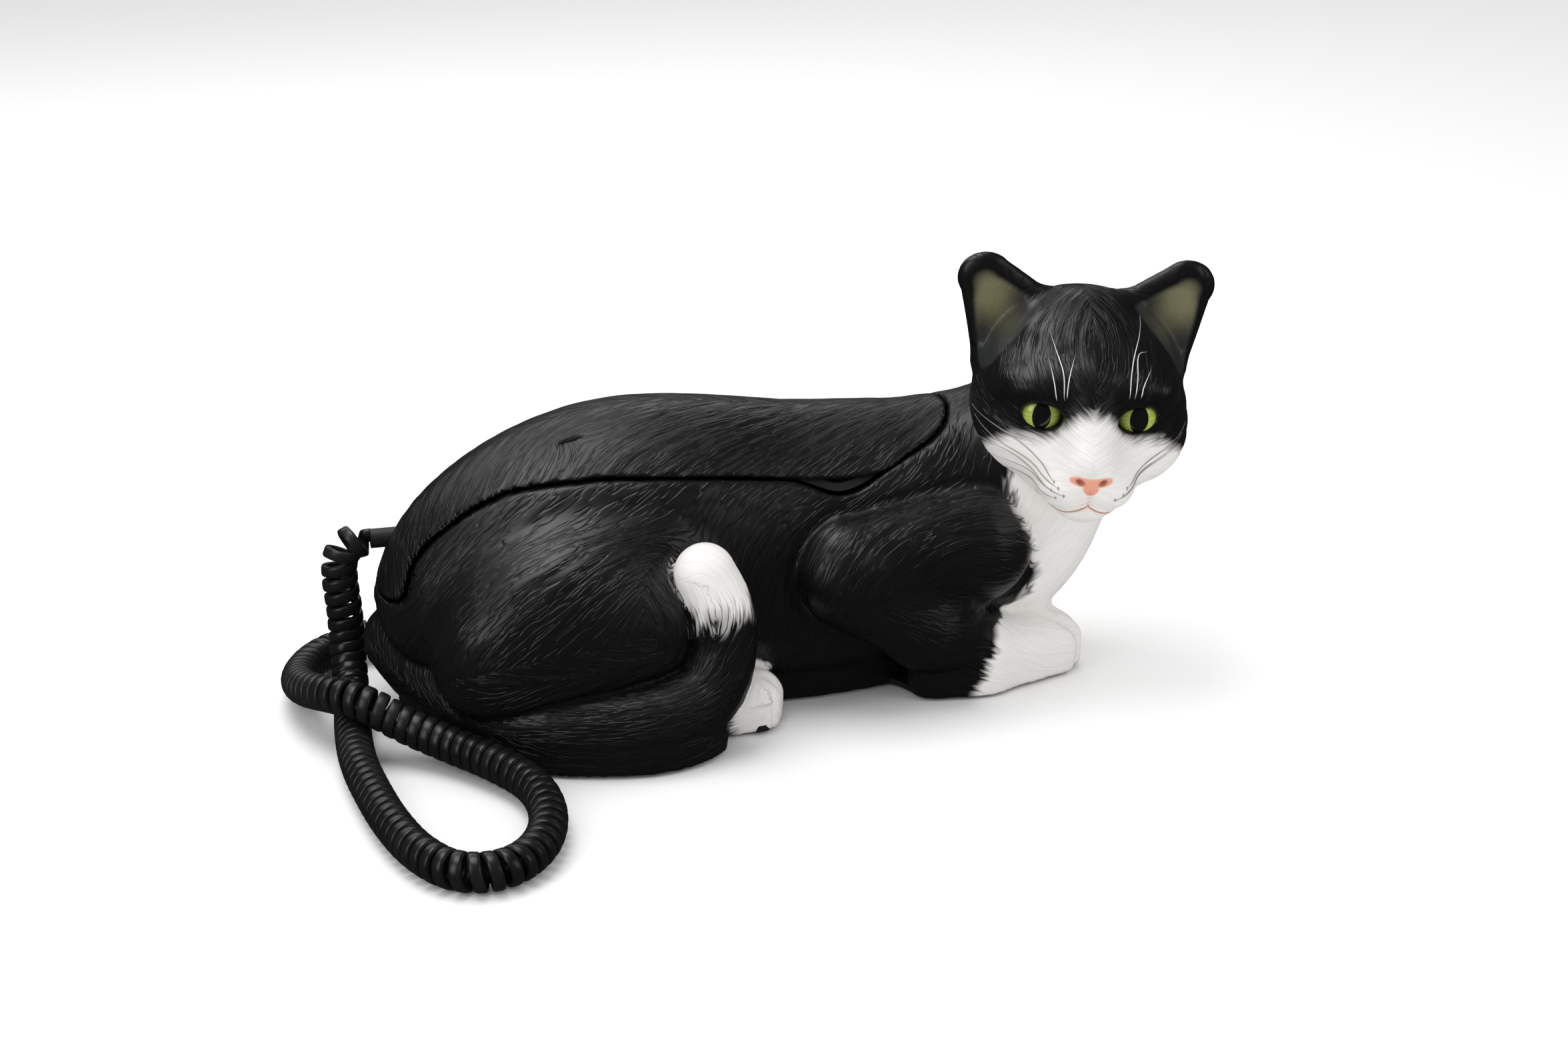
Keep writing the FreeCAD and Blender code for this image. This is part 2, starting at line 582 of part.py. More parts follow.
def make_base(shell, fitted, outer, head):
    """The casing with its seat for the head, the cradle plate, the cover and everything fixed in them."""
    parts = {}
    under = above_seam(-FIT).fuse(tab(FIT))
    casing = largest(shell.cut(under).common(box(-200, 250, -150, 150, FLOOR_GAP, 200)).cut(head))
    cradle = fitted.common(seam_band(-FIT - CRADLE_DROP - WALL, -FIT - CRADLE_DROP))
    cradle = largest(cradle.common(box(-100, 95, -60, 60, 40, 130)).cut(box(-130, -84, 3, 25, 40, 80)))
    px, py = PLUNGER
    holders = [(px + k * 13, py) for k in (-1, 1)]
    cradle = joined([cradle] + [
        rod(6, seam_height(x) - 7 - SWITCH_Z[1], (x, y, SWITCH_Z[1])) for x, y in holders
    ])
    cradle = without(cradle, [rod(PLUNGER_D + 0.8, 40, (px, py, 60))] + [
        rod(2, 3, (x, y, SWITCH_Z[1])) for x, y in holders
    ])
    parts["cradle_plate"] = cradle
    pads = [(-56, MID_Y - 19), (-56, MID_Y + 19), (60, MID_Y - 14), (60, MID_Y + 14)]
    parts["cradle_pads"] = Part.makeCompound([
        max(rod(8, 9, (x, y, seam_height(x) - 11.2)).cut(cradle).Solids, key=lambda s: s.BoundBox.ZMax)
        for x, y in pads
    ])
    cover = largest(fitted.common(box(-200, 250, -150, 150, COVER_Z, INSIDE_Z)))
    bosses = boss_places()
    casing = joined([casing] + [rod(8, 16, (x, y, INSIDE_Z)).common(outer) for x, y in bosses])
    casing = without(casing, [rod(2.8, 12, (x, y, INSIDE_Z)) for x, y in bosses])
    # jacks
    jx, jz = LINE_JACK
    jy = skin_at((jx, 0, jz), (0, 1, 0))[1]
    line = box(jx - 7, jx + 7, jy - JACK_D, jy + 12, jz - 7, jz + 6)
    socket = box(jx - 4.9, jx + 4.9, jy - 10, jy + 14, jz - 3.2, jz + 3.2)
    at, way = cord_end(False)
    face = at + way * 10
    cord = box(face.x, face.x + JACK_D, face.y - 6.5, face.y + 6.5, face.z - 6, face.z + 6)
    casing = casing.cut(line).cut(cord).cut(plug(False, 22, 7.6))
    parts["line_jack"] = largest(line.common(outer).cut(socket))
    parts["base_cord_jack"] = largest(cord.common(outer).cut(plug(False, 20)))
    parts["cord_plug_base"] = plug(False, 20)
    parts["body_shell"] = largest(casing)
    # bottom cover
    x0, x1, y0, y1 = MAIN_BOARD
    posts = [(x, y) for x in (x0 + 3, x1 - 3) for y in (y0 + 3, y1 - 3)]
    cover = joined([cover] + [rod(6, MAIN_BOARD_Z - COVER_Z - 1, (x, y, COVER_Z + 1)) for x, y in posts])
    sx, sy = SPEAKER
    wall = rod(SPEAKER_D + 4, 9, (sx, sy, INSIDE_Z - 0.5)).cut(rod(SPEAKER_D, 9, (sx, sy, INSIDE_Z - 0.5)))
    cover = cover.fuse(wall)
    cuts = [rod(2.5, 8, (sx + r * math.cos(a), sy + r * math.sin(a), 0)) for r, n in ((6, 6), (12, 12))
            for a in (2 * math.pi * k / n for k in range(n))]
    cuts += [rod(2, 12, (x, y, MAIN_BOARD_Z - 12)) for x, y in posts]
    for x, y in bosses:
        cuts += [rod(3.2, 6, (x, y, 0)), rod(5.8, 2.4, (x, y, 0))]
    cuts += [box(SLIDER_X - 6.3, SLIDER_X + 6.3, y - 2.3, y + 2.3, 0, 4) for y in SLIDER_Y]
    parts["bottom_cover"] = without(cover, cuts)
    parts["cover_screws"] = Part.makeCompound([screw(x, y, COVER_Z, 13, 5.6, 1.2, 2.8) for x, y in bosses])
    feet = [(-78, -30), (-70, 44), (88, -28), (88, 30)]
    parts["rubber_feet"] = Part.makeCompound([
        Part.makeCone(5.4, 6, 0.6, V(x, y, 0)).fuse(rod(12, COVER_Z - 0.6, (x, y, 0.6))) for x, y in feet
    ])
    parts["ballast_plate"] = rounded(
        box(BALLAST[0], BALLAST[1], BALLAST[2], BALLAST[3], INSIDE_Z, INSIDE_Z + BALLAST_T), 3, (0, 0, 1))
    board = box(x0, x1, y0, y1, MAIN_BOARD_Z, MAIN_BOARD_Z + BOARD_T)
    parts["main_board"] = without(board, [rod(2, 4, (x, y, MAIN_BOARD_Z - 1)) for x, y in posts])
    parts["main_board_screws"] = Part.makeCompound([
        screw(x, y, MAIN_BOARD_Z + BOARD_T + 1, 9, 4, 1, 2, up=False) for x, y in posts
    ])
    top = MAIN_BOARD_Z + BOARD_T
    blocks = [box(-48, -30, -10, 6, top, top + 13), box(-22, -8, -12, -2, top, top + 10),
              box(-4, 18, 2, 10, top, top + 3.6), box(-46, -26, 9, 16, top, top + 3.6)]
    blocks += [rod(8, 11, (x, -10, top)) for x in (6, 18, 30)]
    parts["board_components"] = Part.makeCompound(blocks)
    parts["ringer_speaker"] = rod(SPEAKER_D, 5, (sx, sy, INSIDE_Z)).fuse(
        Part.makeCone(SPEAKER_D / 2, 10, 7, V(sx, sy, INSIDE_Z + 5))).fuse(rod(20, 8, (sx, sy, INSIDE_Z + 11)))
    bore = rod(PLUNGER_D + 0.8, SWITCH_Z[1], (px, py, SWITCH_Z[0] + 2))
    switch = box(px - 8, px + 8, py - 6, py + 6, SWITCH_Z[0], SWITCH_Z[1]).fuse(
        box(px - 17, px + 17, py - 6, py + 6, SWITCH_Z[1] - 3, SWITCH_Z[1]))
    parts["hook_switch"] = without(switch, [bore] + [rod(2, 4, (x, y, SWITCH_Z[1] - 4)) for x, y in holders])
    parts["hook_switch_screws"] = Part.makeCompound([
        screw(x, y, SWITCH_Z[1] - 4, 7, 4, 1, 2) for x, y in holders
    ])
    bottom, gap = SWITCH_Z[0] + 2, PLUNGER_Z[0] - SWITCH_Z[0] - 2
    wire = 0.6
    helix = Part.makeHelix((gap - wire) / 3, gap - wire, 1.9)
    section = Part.Wire(Part.makeCircle(wire / 2, V(1.9, 0, 0), V(0, 1, 0)))
    spring = Part.Wire(helix.Edges).makePipeShell([section], True, True)
    spring.translate(V(px, py, bottom + wire / 2))
    parts["plunger_spring"] = spring
    for name, y in zip(("ringer_switch_body", "dial_switch_body"), SLIDER_Y):
        block = box(SLIDER_X - 10, SLIDER_X + 10, y - 4.5, y + 4.5, INSIDE_Z, INSIDE_Z + 7)
        parts[name] = block.cut(box(SLIDER_X - 6.3, SLIDER_X + 6.3, y - 2.3, y + 2.3, 0, INSIDE_Z + 3))
    return parts


def make_movers():
    """The hook plunger and the two sliders under the base."""
    px, py = PLUNGER
    low, high = PLUNGER_Z
    plunger = rod(PLUNGER_D, high - low - 1.5, (px, py, low))
    plunger = plunger.fuse(Part.makeCone(PLUNGER_D / 2, 1, 1.5, V(px, py, high - 1.5)))
    parts = {"hook_plunger": plunger}
    for name, y in zip(("ringer_slider", "dial_slider"), SLIDER_Y):
        x = SLIDER_X - SLIDER_TRAVEL / 2
        parts[name] = box(x - 3, x + 3, y - 2, y + 2, 0.8, INSIDE_Z + 2.6)
    return parts


def make_head():
    """The hollow head with its ears, and the two eyes that fill its sockets."""
    rings = cast(head_field, head_rays(), 70)
    outer, inner = (skin_under(rings, depth, to_world, V(0, 0, 1)) for depth in (0, WALL))
    shell = outer.cut(inner)
    parts = {}
    ears = []
    for side in (-1, 1):
        lean = turn(0, 0, -22 * side)
        ear = egg((-3, side * 28, 30), (10, 16, 25), lean)
        ear = ear.cut(egg((7, side * 30, 32), (10.5, 11.5, 21), lean))
        ears.append(largest(ear.cut(outer)))
    for name, side in (("right_eye", -1), ("left_eye", 1)):
        place, size = (25.5, side * 15, 2.5), (10, 8.6, 8.2)
        shell = shell.cut(egg(place, tuple(s + 0.1 for s in size)))
        parts[name] = egg(place, size)
    parts["head_shell"] = largest(joined([largest(shell)] + ears))
    return parts, outer


def cord_tube():
    """Straight runs joined by tangent arcs, each as large as its two runs allow."""
    points = [V(*p) for p in CORD_ROUTE]
    runs = [b - a for a, b in zip(points, points[1:])]
    edges, start, radii = [], points[0], []
    for i, (a, b) in enumerate(zip(runs, runs[1:])):
        turned = a.getAngle(b)
        short = 0.45 * min(a.Length, b.Length)
        radii.append(short / math.tan(turned / 2))
        corner = points[i + 1]
        u, v = a * (1 / a.Length), b * (1 / b.Length)
        p, q = corner - u * short, corner + v * short
        inward = (v - u) * (1 / (v - u).Length)
        sag = radii[-1] * (1 / math.cos(turned / 2) - 1)
        edges += [Part.makeLine(start, p), Part.Arc(p, corner + inward * sag, q).toShape()]
        start = q
    edges.append(Part.makeLine(start, points[-1]))
    path = Part.Wire(edges)
    ring_at = Part.Wire(Part.makeCircle(CORD_D / 2, points[0], runs[0]))
    tube = path.makePipeShell([ring_at], True, True)
    print("cord: length %.1f, volume over section times length %.4f" % (
        path.Length, tube.Volume / (math.pi * CORD_D**2 / 4 * path.Length)))
    print("cord radii: " + " ".join("%.0f" % r for r in radii))
    return tube


def write(name, shape):
    moved = shape.copy()
    moved.translate(V(-CENTRE_X, -CENTRE_Y, 0))
    moved.exportStep("parts/%s.step" % name)
    b = moved.BoundBox
    print("%-22s valid=%s solids=%d vol=%9.1f  x %.1f..%.1f y %.1f..%.1f z %.1f..%.1f" % (
        name, moved.isValid(), len(moved.Solids), moved.Volume, b.XMin, b.XMax, b.YMin, b.YMax, b.ZMin, b.ZMax))
    return b


def main():
    rings = cast(body_field, body_rays(), 130)
    outer, inner, fitted = (skin_under(rings, d, as_it_is, V(1, 0, 0)) for d in (0, WALL, WALL + 0.3))
    shell = outer.cut(inner)
    head_parts, head = make_head()
    parts = make_base(shell, fitted, outer, head)
    parts.update(make_handset(shell, fitted, outer))
    parts.update(make_keys())
    parts.update(make_movers())
    parts.update(head_parts)
    parts["curly_cord"] = cord_tube()
    whole = FreeCAD.BoundBox()
    for name, shape in parts.items():
        b = write(name, shape)
        if "cord_plug" not in name and name != "curly_cord":
            whole.add(b)
    print("%d nodes" % len(parts))
    print("without the cord: %s, middle %.2f %.2f" % (whole, whole.Center.x, whole.Center.y))


if __name__ == "__main__":
    main()
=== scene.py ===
"""A telephone in the shape of a lying cat: its furred skins, painted face, cord and stage around the frame."""

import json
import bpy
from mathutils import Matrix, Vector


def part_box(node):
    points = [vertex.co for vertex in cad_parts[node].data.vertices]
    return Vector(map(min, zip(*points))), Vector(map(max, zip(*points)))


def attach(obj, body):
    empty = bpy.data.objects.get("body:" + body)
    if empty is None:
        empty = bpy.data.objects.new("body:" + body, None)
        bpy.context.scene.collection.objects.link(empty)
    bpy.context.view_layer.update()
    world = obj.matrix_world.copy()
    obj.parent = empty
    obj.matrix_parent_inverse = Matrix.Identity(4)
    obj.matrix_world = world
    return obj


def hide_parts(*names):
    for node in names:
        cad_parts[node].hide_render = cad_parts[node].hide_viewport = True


bl_info = {
    "name": "Cat telephone",
    "version": (1, 0, 0),
    "blender": (4, 5, 0),
    "location": "View3D > Sidebar > Cat telephone",
    "description": "Builds the skins, painted face, curly cord and stage of a cat shaped telephone",
    "category": "Object",
}

import bpy
import numpy as np
from mathutils import Vector

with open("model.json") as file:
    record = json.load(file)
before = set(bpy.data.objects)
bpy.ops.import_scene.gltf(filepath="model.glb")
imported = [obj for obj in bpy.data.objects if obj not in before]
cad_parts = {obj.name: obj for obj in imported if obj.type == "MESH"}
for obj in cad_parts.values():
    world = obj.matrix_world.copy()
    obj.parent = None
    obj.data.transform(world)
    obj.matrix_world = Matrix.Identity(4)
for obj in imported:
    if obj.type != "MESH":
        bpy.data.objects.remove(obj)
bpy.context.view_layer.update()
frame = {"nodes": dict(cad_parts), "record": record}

MM = 0.001
HAIR_ROUNDS = 420  # conjugate gradient rounds for the hair's number
# The forms below are in millimetres in the cat's own axes: x towards the chest, y to its left, z up.
# The frame's origin lies here in them.
ORIGIN = np.array((37.9, -4.9, 0.0))


# ---- distances: negative inside a form, positive outside ----

def turn(yaw, pitch, roll):
    """Rotation matrix: roll about x, then pitch lifting +x, then yaw about z, in degrees."""
    y, p, r = np.radians((yaw, pitch, roll))
    about_z = np.array(((np.cos(y), -np.sin(y), 0), (np.sin(y), np.cos(y), 0), (0, 0, 1)))
    about_y = np.array(((np.cos(p), 0, -np.sin(p)), (0, 1, 0), (np.sin(p), 0, np.cos(p))))
    about_x = np.array(((1, 0, 0), (0, np.cos(r), -np.sin(r)), (0, np.sin(r), np.cos(r))))
    return about_z @ about_y @ about_x


def egg(p, centre, radii, m=None):
    """Distance to an ellipsoid: k0 (k0 - 1) / k1, with k0 and k1 the lengths of q / r and q / r squared."""
    q = p - np.array(centre, float)
    if m is not None:
        q = q @ m
    a = q / np.array(radii, float)
    k0 = np.sqrt((a * a).sum(-1))
    b = a / np.array(radii, float)
    k1 = np.sqrt((b * b).sum(-1)) + 1e-9
    return k0 * (k0 - 1) / k1


def cone(p, a, b):
    """Distance to a cone with ball ends; a and b hold x, y, z and the radius of each end."""
    start = np.array(a[:3], float)
    along = np.array(b[:3], float) - start
    q = p - start
    t = np.clip((q @ along) / (along @ along), 0, 1)
    return np.sqrt(((q - t[..., None] * along) ** 2).sum(-1)) - (a[3] + (b[3] - a[3]) * t)


def brick(p, low, high, radius):
    """Distance to a box with rounded edges."""
    low, high = np.array(low, float), np.array(high, float)
    q = np.abs(p - (low + high) / 2) - (high - low) / 2 + radius
    return np.sqrt((np.maximum(q, 0) ** 2).sum(-1)) + np.minimum(q.max(-1), 0) - radius


def join(a, b, k):
    """Union of two forms with a fillet k wide: the polynomial smooth minimum."""
    h = np.clip(0.5 + 0.5 * (b - a) / k, 0, 1)
    return b + (a - b) * h - k * h * (1 - h)


def keep(a, b, k):
    """What two forms share, with its edge rounded k wide."""
    return -join(-a, -b, k)


def chain(p, balls, k):
    """Cones through a row of balls, each joined to the next with a fillet k."""
    d = cone(p, balls[0], balls[1])
    for a, b in zip(balls[1:], balls[2:]):
        e = cone(p, a, b)
        d = join(d, e, k) if k else np.minimum(d, e)
    return d


def smooth_path(points, steps):
    """Points on the curve of Catmull and Rom through the given ones."""
    p = np.array(points, float)
    p = np.vstack((2 * p[0] - p[1], p, 2 * p[-1] - p[-2]))
    t = (np.arange(steps) / steps)[:, None]
    a, b, c, d = p[:-3, None], p[1:-2, None], p[2:-1, None], p[3:, None]
    curve = 0.5 * (2 * b + (c - a) * t + (2 * a - 5 * b + 4 * c - d) * t**2 + (3 * b - a - 3 * c + d) * t**3)
    return np.vstack((curve.reshape(-1, p.shape[1]), p[-2]))


def ramp(x, low, high):
    """0 below low, 1 above high and a smooth step between them."""
    t = np.clip((x - low) / (high - low), 0, 1)
    return t * t * (3 - 2 * t)


# ---- the cat's body ----

TAIL = (
    (-104, -2, 28, 14), (-96, -18, 21, 14.2), (-82, -40, 16, 14.5), (-60, -59, 14.5, 14), (-31, -67, 14.8, 13.7),
    (-9, -63, 21, 12.5), (-1, -60, 36, 11.3), (-2, -59, 52, 11), (-7, -58, 64, 10.6),
)
TAIL_LINE = smooth_path(TAIL, 4)
TRUNK = (
    ((-30, 3, 55), (60, 48, 48.5), turn(4, -2, 0), 1),
    ((-69, -4, 40), (45, 45, 43.5), turn(10, 24, 0), 25),
    ((24, 4, 54), (88, 43, 49), turn(0, -1, 0), 30),
    ((90, 0, 50), (54, 37, 46), None, 25),
    ((36, 0, 30), (52, 40, 26), None, 16),
    ((128, -6, 58), (26, 27, 36), turn(0, -20, 0), 16),
)
SIDES = (-1, 1)
SEAM_HIGH = (
    (-160, 46), (-136, 47), (-118, 47.5), (-107, 50.5), (-102.5, 61), (-97, 69), (-87, 77.5), (-76, 84),
    (-63, 88.6), (-37, 91.3), (-10, 90), (14, 87.2), (32, 84.4),
)
SEAM_DIP = ((41, 80.8), (48, 78.6), (55.5, 79.6))
SEAM_STRAIGHT = ((41, 83.4), (48, 82.9), (55.5, 82.9))
SEAM_TIP = (
    (64, 83.6), (74.5, 87.8), (86, 92.6), (93, 97.5), (98.5, 105), (101.5, 114), (102.5, 126), (103.5, 160),
)
TAB = ((-130, 5.5, 53), (-88, 22.5, 76))
MIDDLE = 3.0  # where the spine lies across
FLOOR_GAP = 1.0
FOOT_LEVEL = 12.0
WALL = 2.5


def seam_side(p, dip):
    """Distance above the line between handset and casing: height over it by its slope."""
    line = np.array(SEAM_HIGH + (SEAM_DIP if dip else SEAM_STRAIGHT) + SEAM_TIP)
    line = smooth_path(line, 5)
    slope = np.gradient(line[:, 1], line[:, 0])
    rise = np.interp(p[..., 0], line[:, 0], slope)
    return (p[..., 2] - np.interp(p[..., 0], line[:, 0], line[:, 1])) / np.sqrt(1 + rise**2)


def trunk(p):
    """Chest, belly and rump: eggs joined one after another, and the neck's cone."""
    d = egg(p, *TRUNK[0][:3])
    for centre, radii, m, k in TRUNK[1:]:
        d = join(d, egg(p, centre, radii, m), k)
    return join(d, cone(p, (112, -2, 68, 32), (136, -12, 90, 28)), 18)


def haunch(p, s):
    """The folded hind leg on side s: one egg."""
    return egg(p, (-44, s * 40, 38), (56, 31, 41), turn(-s * 8, 6, 0))


def arm(p, s):
    """The folded front leg on side s: a cone for the upper arm and a chain of cones for the lower."""
    upper = cone(p, (50, s * 37, 54, 17.5), (98, s * 31, 56, 22))
    elbow, wrist = (48, s * 39, 50, 17), (116, s * 27, 12.5, 12.5)
    lower = chain(p, (elbow, (80, s * 37, 28, 16), (100, s * 32, 16, 13.5), wrist), 6)
    return join(upper, lower, 6)


def paw(p, s):
    """A front paw: an egg with three furrows between its toes."""
    d = egg(p, (127, s * 17 - 5, 11), (18, 13.5, 12.5), turn(-s * 4, 0, 0))
    y = p[..., 1] - (s * 17 - 5)
    front = ramp(p[..., 0], 126, 138)
    for at in (-6.2, 0.2, 6.4):
        d = d + 2.2 * front * np.exp(-(((y - at) / 1.5) ** 2))
    return d


def hind_paw(p, s):
    """The hind foot that shows beside the belly, with two furrows between its toes."""
    d = chain(p, ((-25, s * 48, 10, 12), (13, s * 44, 9.5, 11.5)), 0)
    y = p[..., 1] - s * 44
    front = ramp(p[..., 0], 12, 21)
    for at in (-4, 3.5):
        d = d + 2.0 * front * np.exp(-(((y - at) / 1.4) ** 2))
    return d


def tail(p):
    """Cones along the tail's smooth line."""
    return chain(p, TAIL_LINE, 0)


def upper_body(p):
    """The body without what lies low: enough for the back."""
    d = trunk(p)
    for s in SIDES:
        d = join(d, haunch(p, s), 7)
    return d


def body(p):
    """The whole lying body; near the desk its sides go straight down and turn a little under."""
    under = 0.6 * (1 - ramp(p[..., 2], 0, 9))
    p = np.stack((p[..., 0], p[..., 1], np.maximum(p[..., 2], FOOT_LEVEL)), -1)
    d = trunk(p)
    for s in SIDES:  # a furrow runs beside each limb, deepest where its distance is nothing
        d = join(d, haunch(p, s), 7)
        limb = arm(p, s)
        d = join(d + 1.2 * np.exp(-((np.maximum(limb, 0) / 3) ** 2)), limb, 3)
        d = join(d, paw(p, s), 6)
        d = join(d, hind_paw(p, s), 4)
    lying = tail(p)
    crease = 2.0 * np.exp(-((np.maximum(lying, 0) / 2.6) ** 2))
    return join(d + crease, lying, 1.4) + under


def tab(p, grow):
    """The block at the rump that holds the handset's cord jack."""
    low, high = np.array(TAB, float)
    return brick(p, low - grow, high + grow, 1.5)


def casing(p):
    """The body below the seam, with a well for the handset, a recess for the cover and the tab's notch.
    The neck ends 3 mm inside the head."""
    gap = sizes().seam_gap / MM / 2
    skin = body(p)
    above = seam_side(p, True)
    d = keep(skin, above + gap, 1.0)
    well = keep(keep(skin + WALL, -(above + 9), 1), -p[..., 2] + 30, 1)
    d = keep(d, -well, 1)
    d = keep(d, FLOOR_GAP - p[..., 2], 1)
    recess = keep(skin + WALL + 0.2, p[..., 2] - 6, 0.5)
    d = keep(d, -recess, 0.5)
    d = keep(d, -(head(p) + 3), 0.5)
    return keep(d, -tab(p, 0.6), 0.4)


def handset(p):
    """The back above the seam, a wall thick, with the tab that holds the cord's jack."""
    gap = sizes().seam_gap / MM / 2
    skin = upper_body(p)
    above = seam_side(p, False)
    d = keep(keep(skin, gap - above, 1.0), -(skin + WALL), 0.6)
    slit = brick(p, (-48, -15, 80), (-40, -14, 130), 0.3)
    d = keep(d, -slit, 0.3)
    housing = keep(keep(tab(p, 0), skin + 0.5, 1), -brick(p, (-124, 7.7, 55.2), (-90, 20.3, 73.8), 1), 0.6)
    return join(d, housing, 0.8)


# ---- the head, in its own axes: x out of the face, y to the cat's left, z up ----

HEAD_AT = np.array((142, -16.9, 103.0))
HEAD_TURN = turn(-103, -2, 0) @ turn(0, 0, -3)
HEAD_SIZE = 1.04
EYE_Y = 16.3
EYE_Z = 2.9
EYE_TILT = 9.0


def to_head(p):
    """From the cat's axes to the head's own."""
    return ((p - HEAD_AT) @ HEAD_TURN) / HEAD_SIZE


def from_head(q):
    """From the head's own axes to the cat's."""
    return (np.asarray(q, float) * HEAD_SIZE) @ HEAD_TURN.T + HEAD_AT


def mirrored(q):
    """Both sides of the head folded onto its left."""
    a = q.copy()
    a[..., 1] = np.abs(a[..., 1])
    return a


def ear_blade(a):
    """An ear: two cones with ball ends, thinned along x."""
    q = (a - np.array((-4.0, 0, 0))) / np.array((0.42, 1, 1))
    outer = cone(q, (0, 22.5, 20.5, 17.8), (0, 36.2, 40.4, 8.4))
    return join(outer, cone(q, (0, 15, 24, 12), (0, 33.5, 40.8, 7.8)), 3) * 0.6


def ear_cup(a):
    """The hollow of an ear: a cone that stands a little in front of the blade."""
    q = (a - np.array((3.5, 0, 0))) / np.array((0.62, 1, 1))
    return cone(q, (0, 23.4, 21, 14.4), (0, 35.4, 39.2, 6.6)) * 0.7


def head_form(q):
    """Skull, cheeks, muzzle, whisker pads, chin, bridge, brow, lids and ears; both sides alike."""
    a = mirrored(q)
    d = egg(q, (-2, 0, 3.5), (36, 36, 35))
    d = join(d, egg(a, (8, 19, -9.5), (21, 17.5, 16.5)), 12)
    d = join(d, egg(a, (27, 0, -17), (19.3, 18, 13.8)), 10)
    d = join(d, egg(a, (35.5, 7.2, -19.6), (9.6, 9, 7.6)), 3)
    d = join(d, egg(a, (31.5, 0, -27.3), (10, 9.5, 6.6)), 4)
    d = join(d, cone(a, (27, 0, 12, 9.5), (40.5, 0, -9, 6.8)), 7)
    d = join(d, egg(a, (23, 17, 12), (11, 13, 7)), 8)
    d = join(d, egg(a, (26, EYE_Y, EYE_Z), (6.2, 9.4, 6.8), turn(0, 0, EYE_TILT)), 2.5)
    d = keep(d, -egg(a, (33, EYE_Y, EYE_Z), (9.5, 7.3, 4.4), turn(0, 0, EYE_TILT)), 1.6)
    ears = keep(keep(ear_blade(a), 6 - a[..., 2], 4), -ear_cup(a), 2.0)
    d = join(d, ears, 5)
    nose = join(egg(a, (43.2, 0, -13.6), (4.2, 7.2, 2.9)), egg(a, (43.4, 0, -16.2), (3.6, 3.2, 3.0)), 2)
    d = join(d, nose, 1.0)
    nostril = egg(a, (47.3, 3.9, -14.6), (2.2, 1.5, 0.9), turn(0, 0, 25))
    d = keep(d, -nostril, 0.6)
    cleft = np.exp(-((a[..., 1] / 0.7) ** 2)) * ramp(a[..., 2], -25.5, -23.5) * (1 - ramp(a[..., 2], -18.5, -17.0))
    return d + 0.9 * cleft * ramp(a[..., 0], 30, 38)


def head(p):
    """Distance to the head in the cat's axes."""
    return head_form(to_head(p)) * HEAD_SIZE


# ---- skins: a mesh laid on the zero level of a distance ----

def by_part(field, p, size=150000):
    """The field at many points, worked out in parts to spare memory."""
    return np.concatenate([field(p[i:i + size]) for i in range(0, len(p), size)])


def slope(field, p, step=0.15):
    """The field's value and gradient by forward differences."""
    value = by_part(field, p)
    grads = [(by_part(field, p + step * axis) - value) / step for axis in np.eye(3)]
    return value, np.stack(grads, -1)


def sampled(field, low, high, cell, block=6):
    """Values on a grid; blocks far from the surface hold only the sign at their middle."""
    low = np.array(low, float)
    count = np.ceil((np.array(high) - low) / (cell * block)).astype(int)
    middles = np.stack(np.meshgrid(*[np.arange(n) for n in count], indexing="ij"), -1).reshape(-1, 3)
    far = by_part(field, low + (middles + 0.5) * block * cell)
    grid = np.empty(tuple(count * block + 1))
    sign = np.sign(far).reshape(tuple(count))
    for axis in range(3):
        sign = np.repeat(sign, block, axis)
    grid[:-1, :-1, :-1] = sign
    grid[-1], grid[:, -1], grid[:, :, -1] = 1, 1, 1
    near = middles[np.abs(far) < 1.25 * block * cell]
    step = np.stack(np.meshgrid(*[np.arange(block + 1)] * 3, indexing="ij"), -1).reshape(-1, 3)
    for part in np.array_split(near, max(1, len(near) // 400)):
        at = (part[:, None] * block + step).reshape(-1, 3)
        grid[tuple(at.T)] = by_part(field, low + at * cell)
    return low, grid


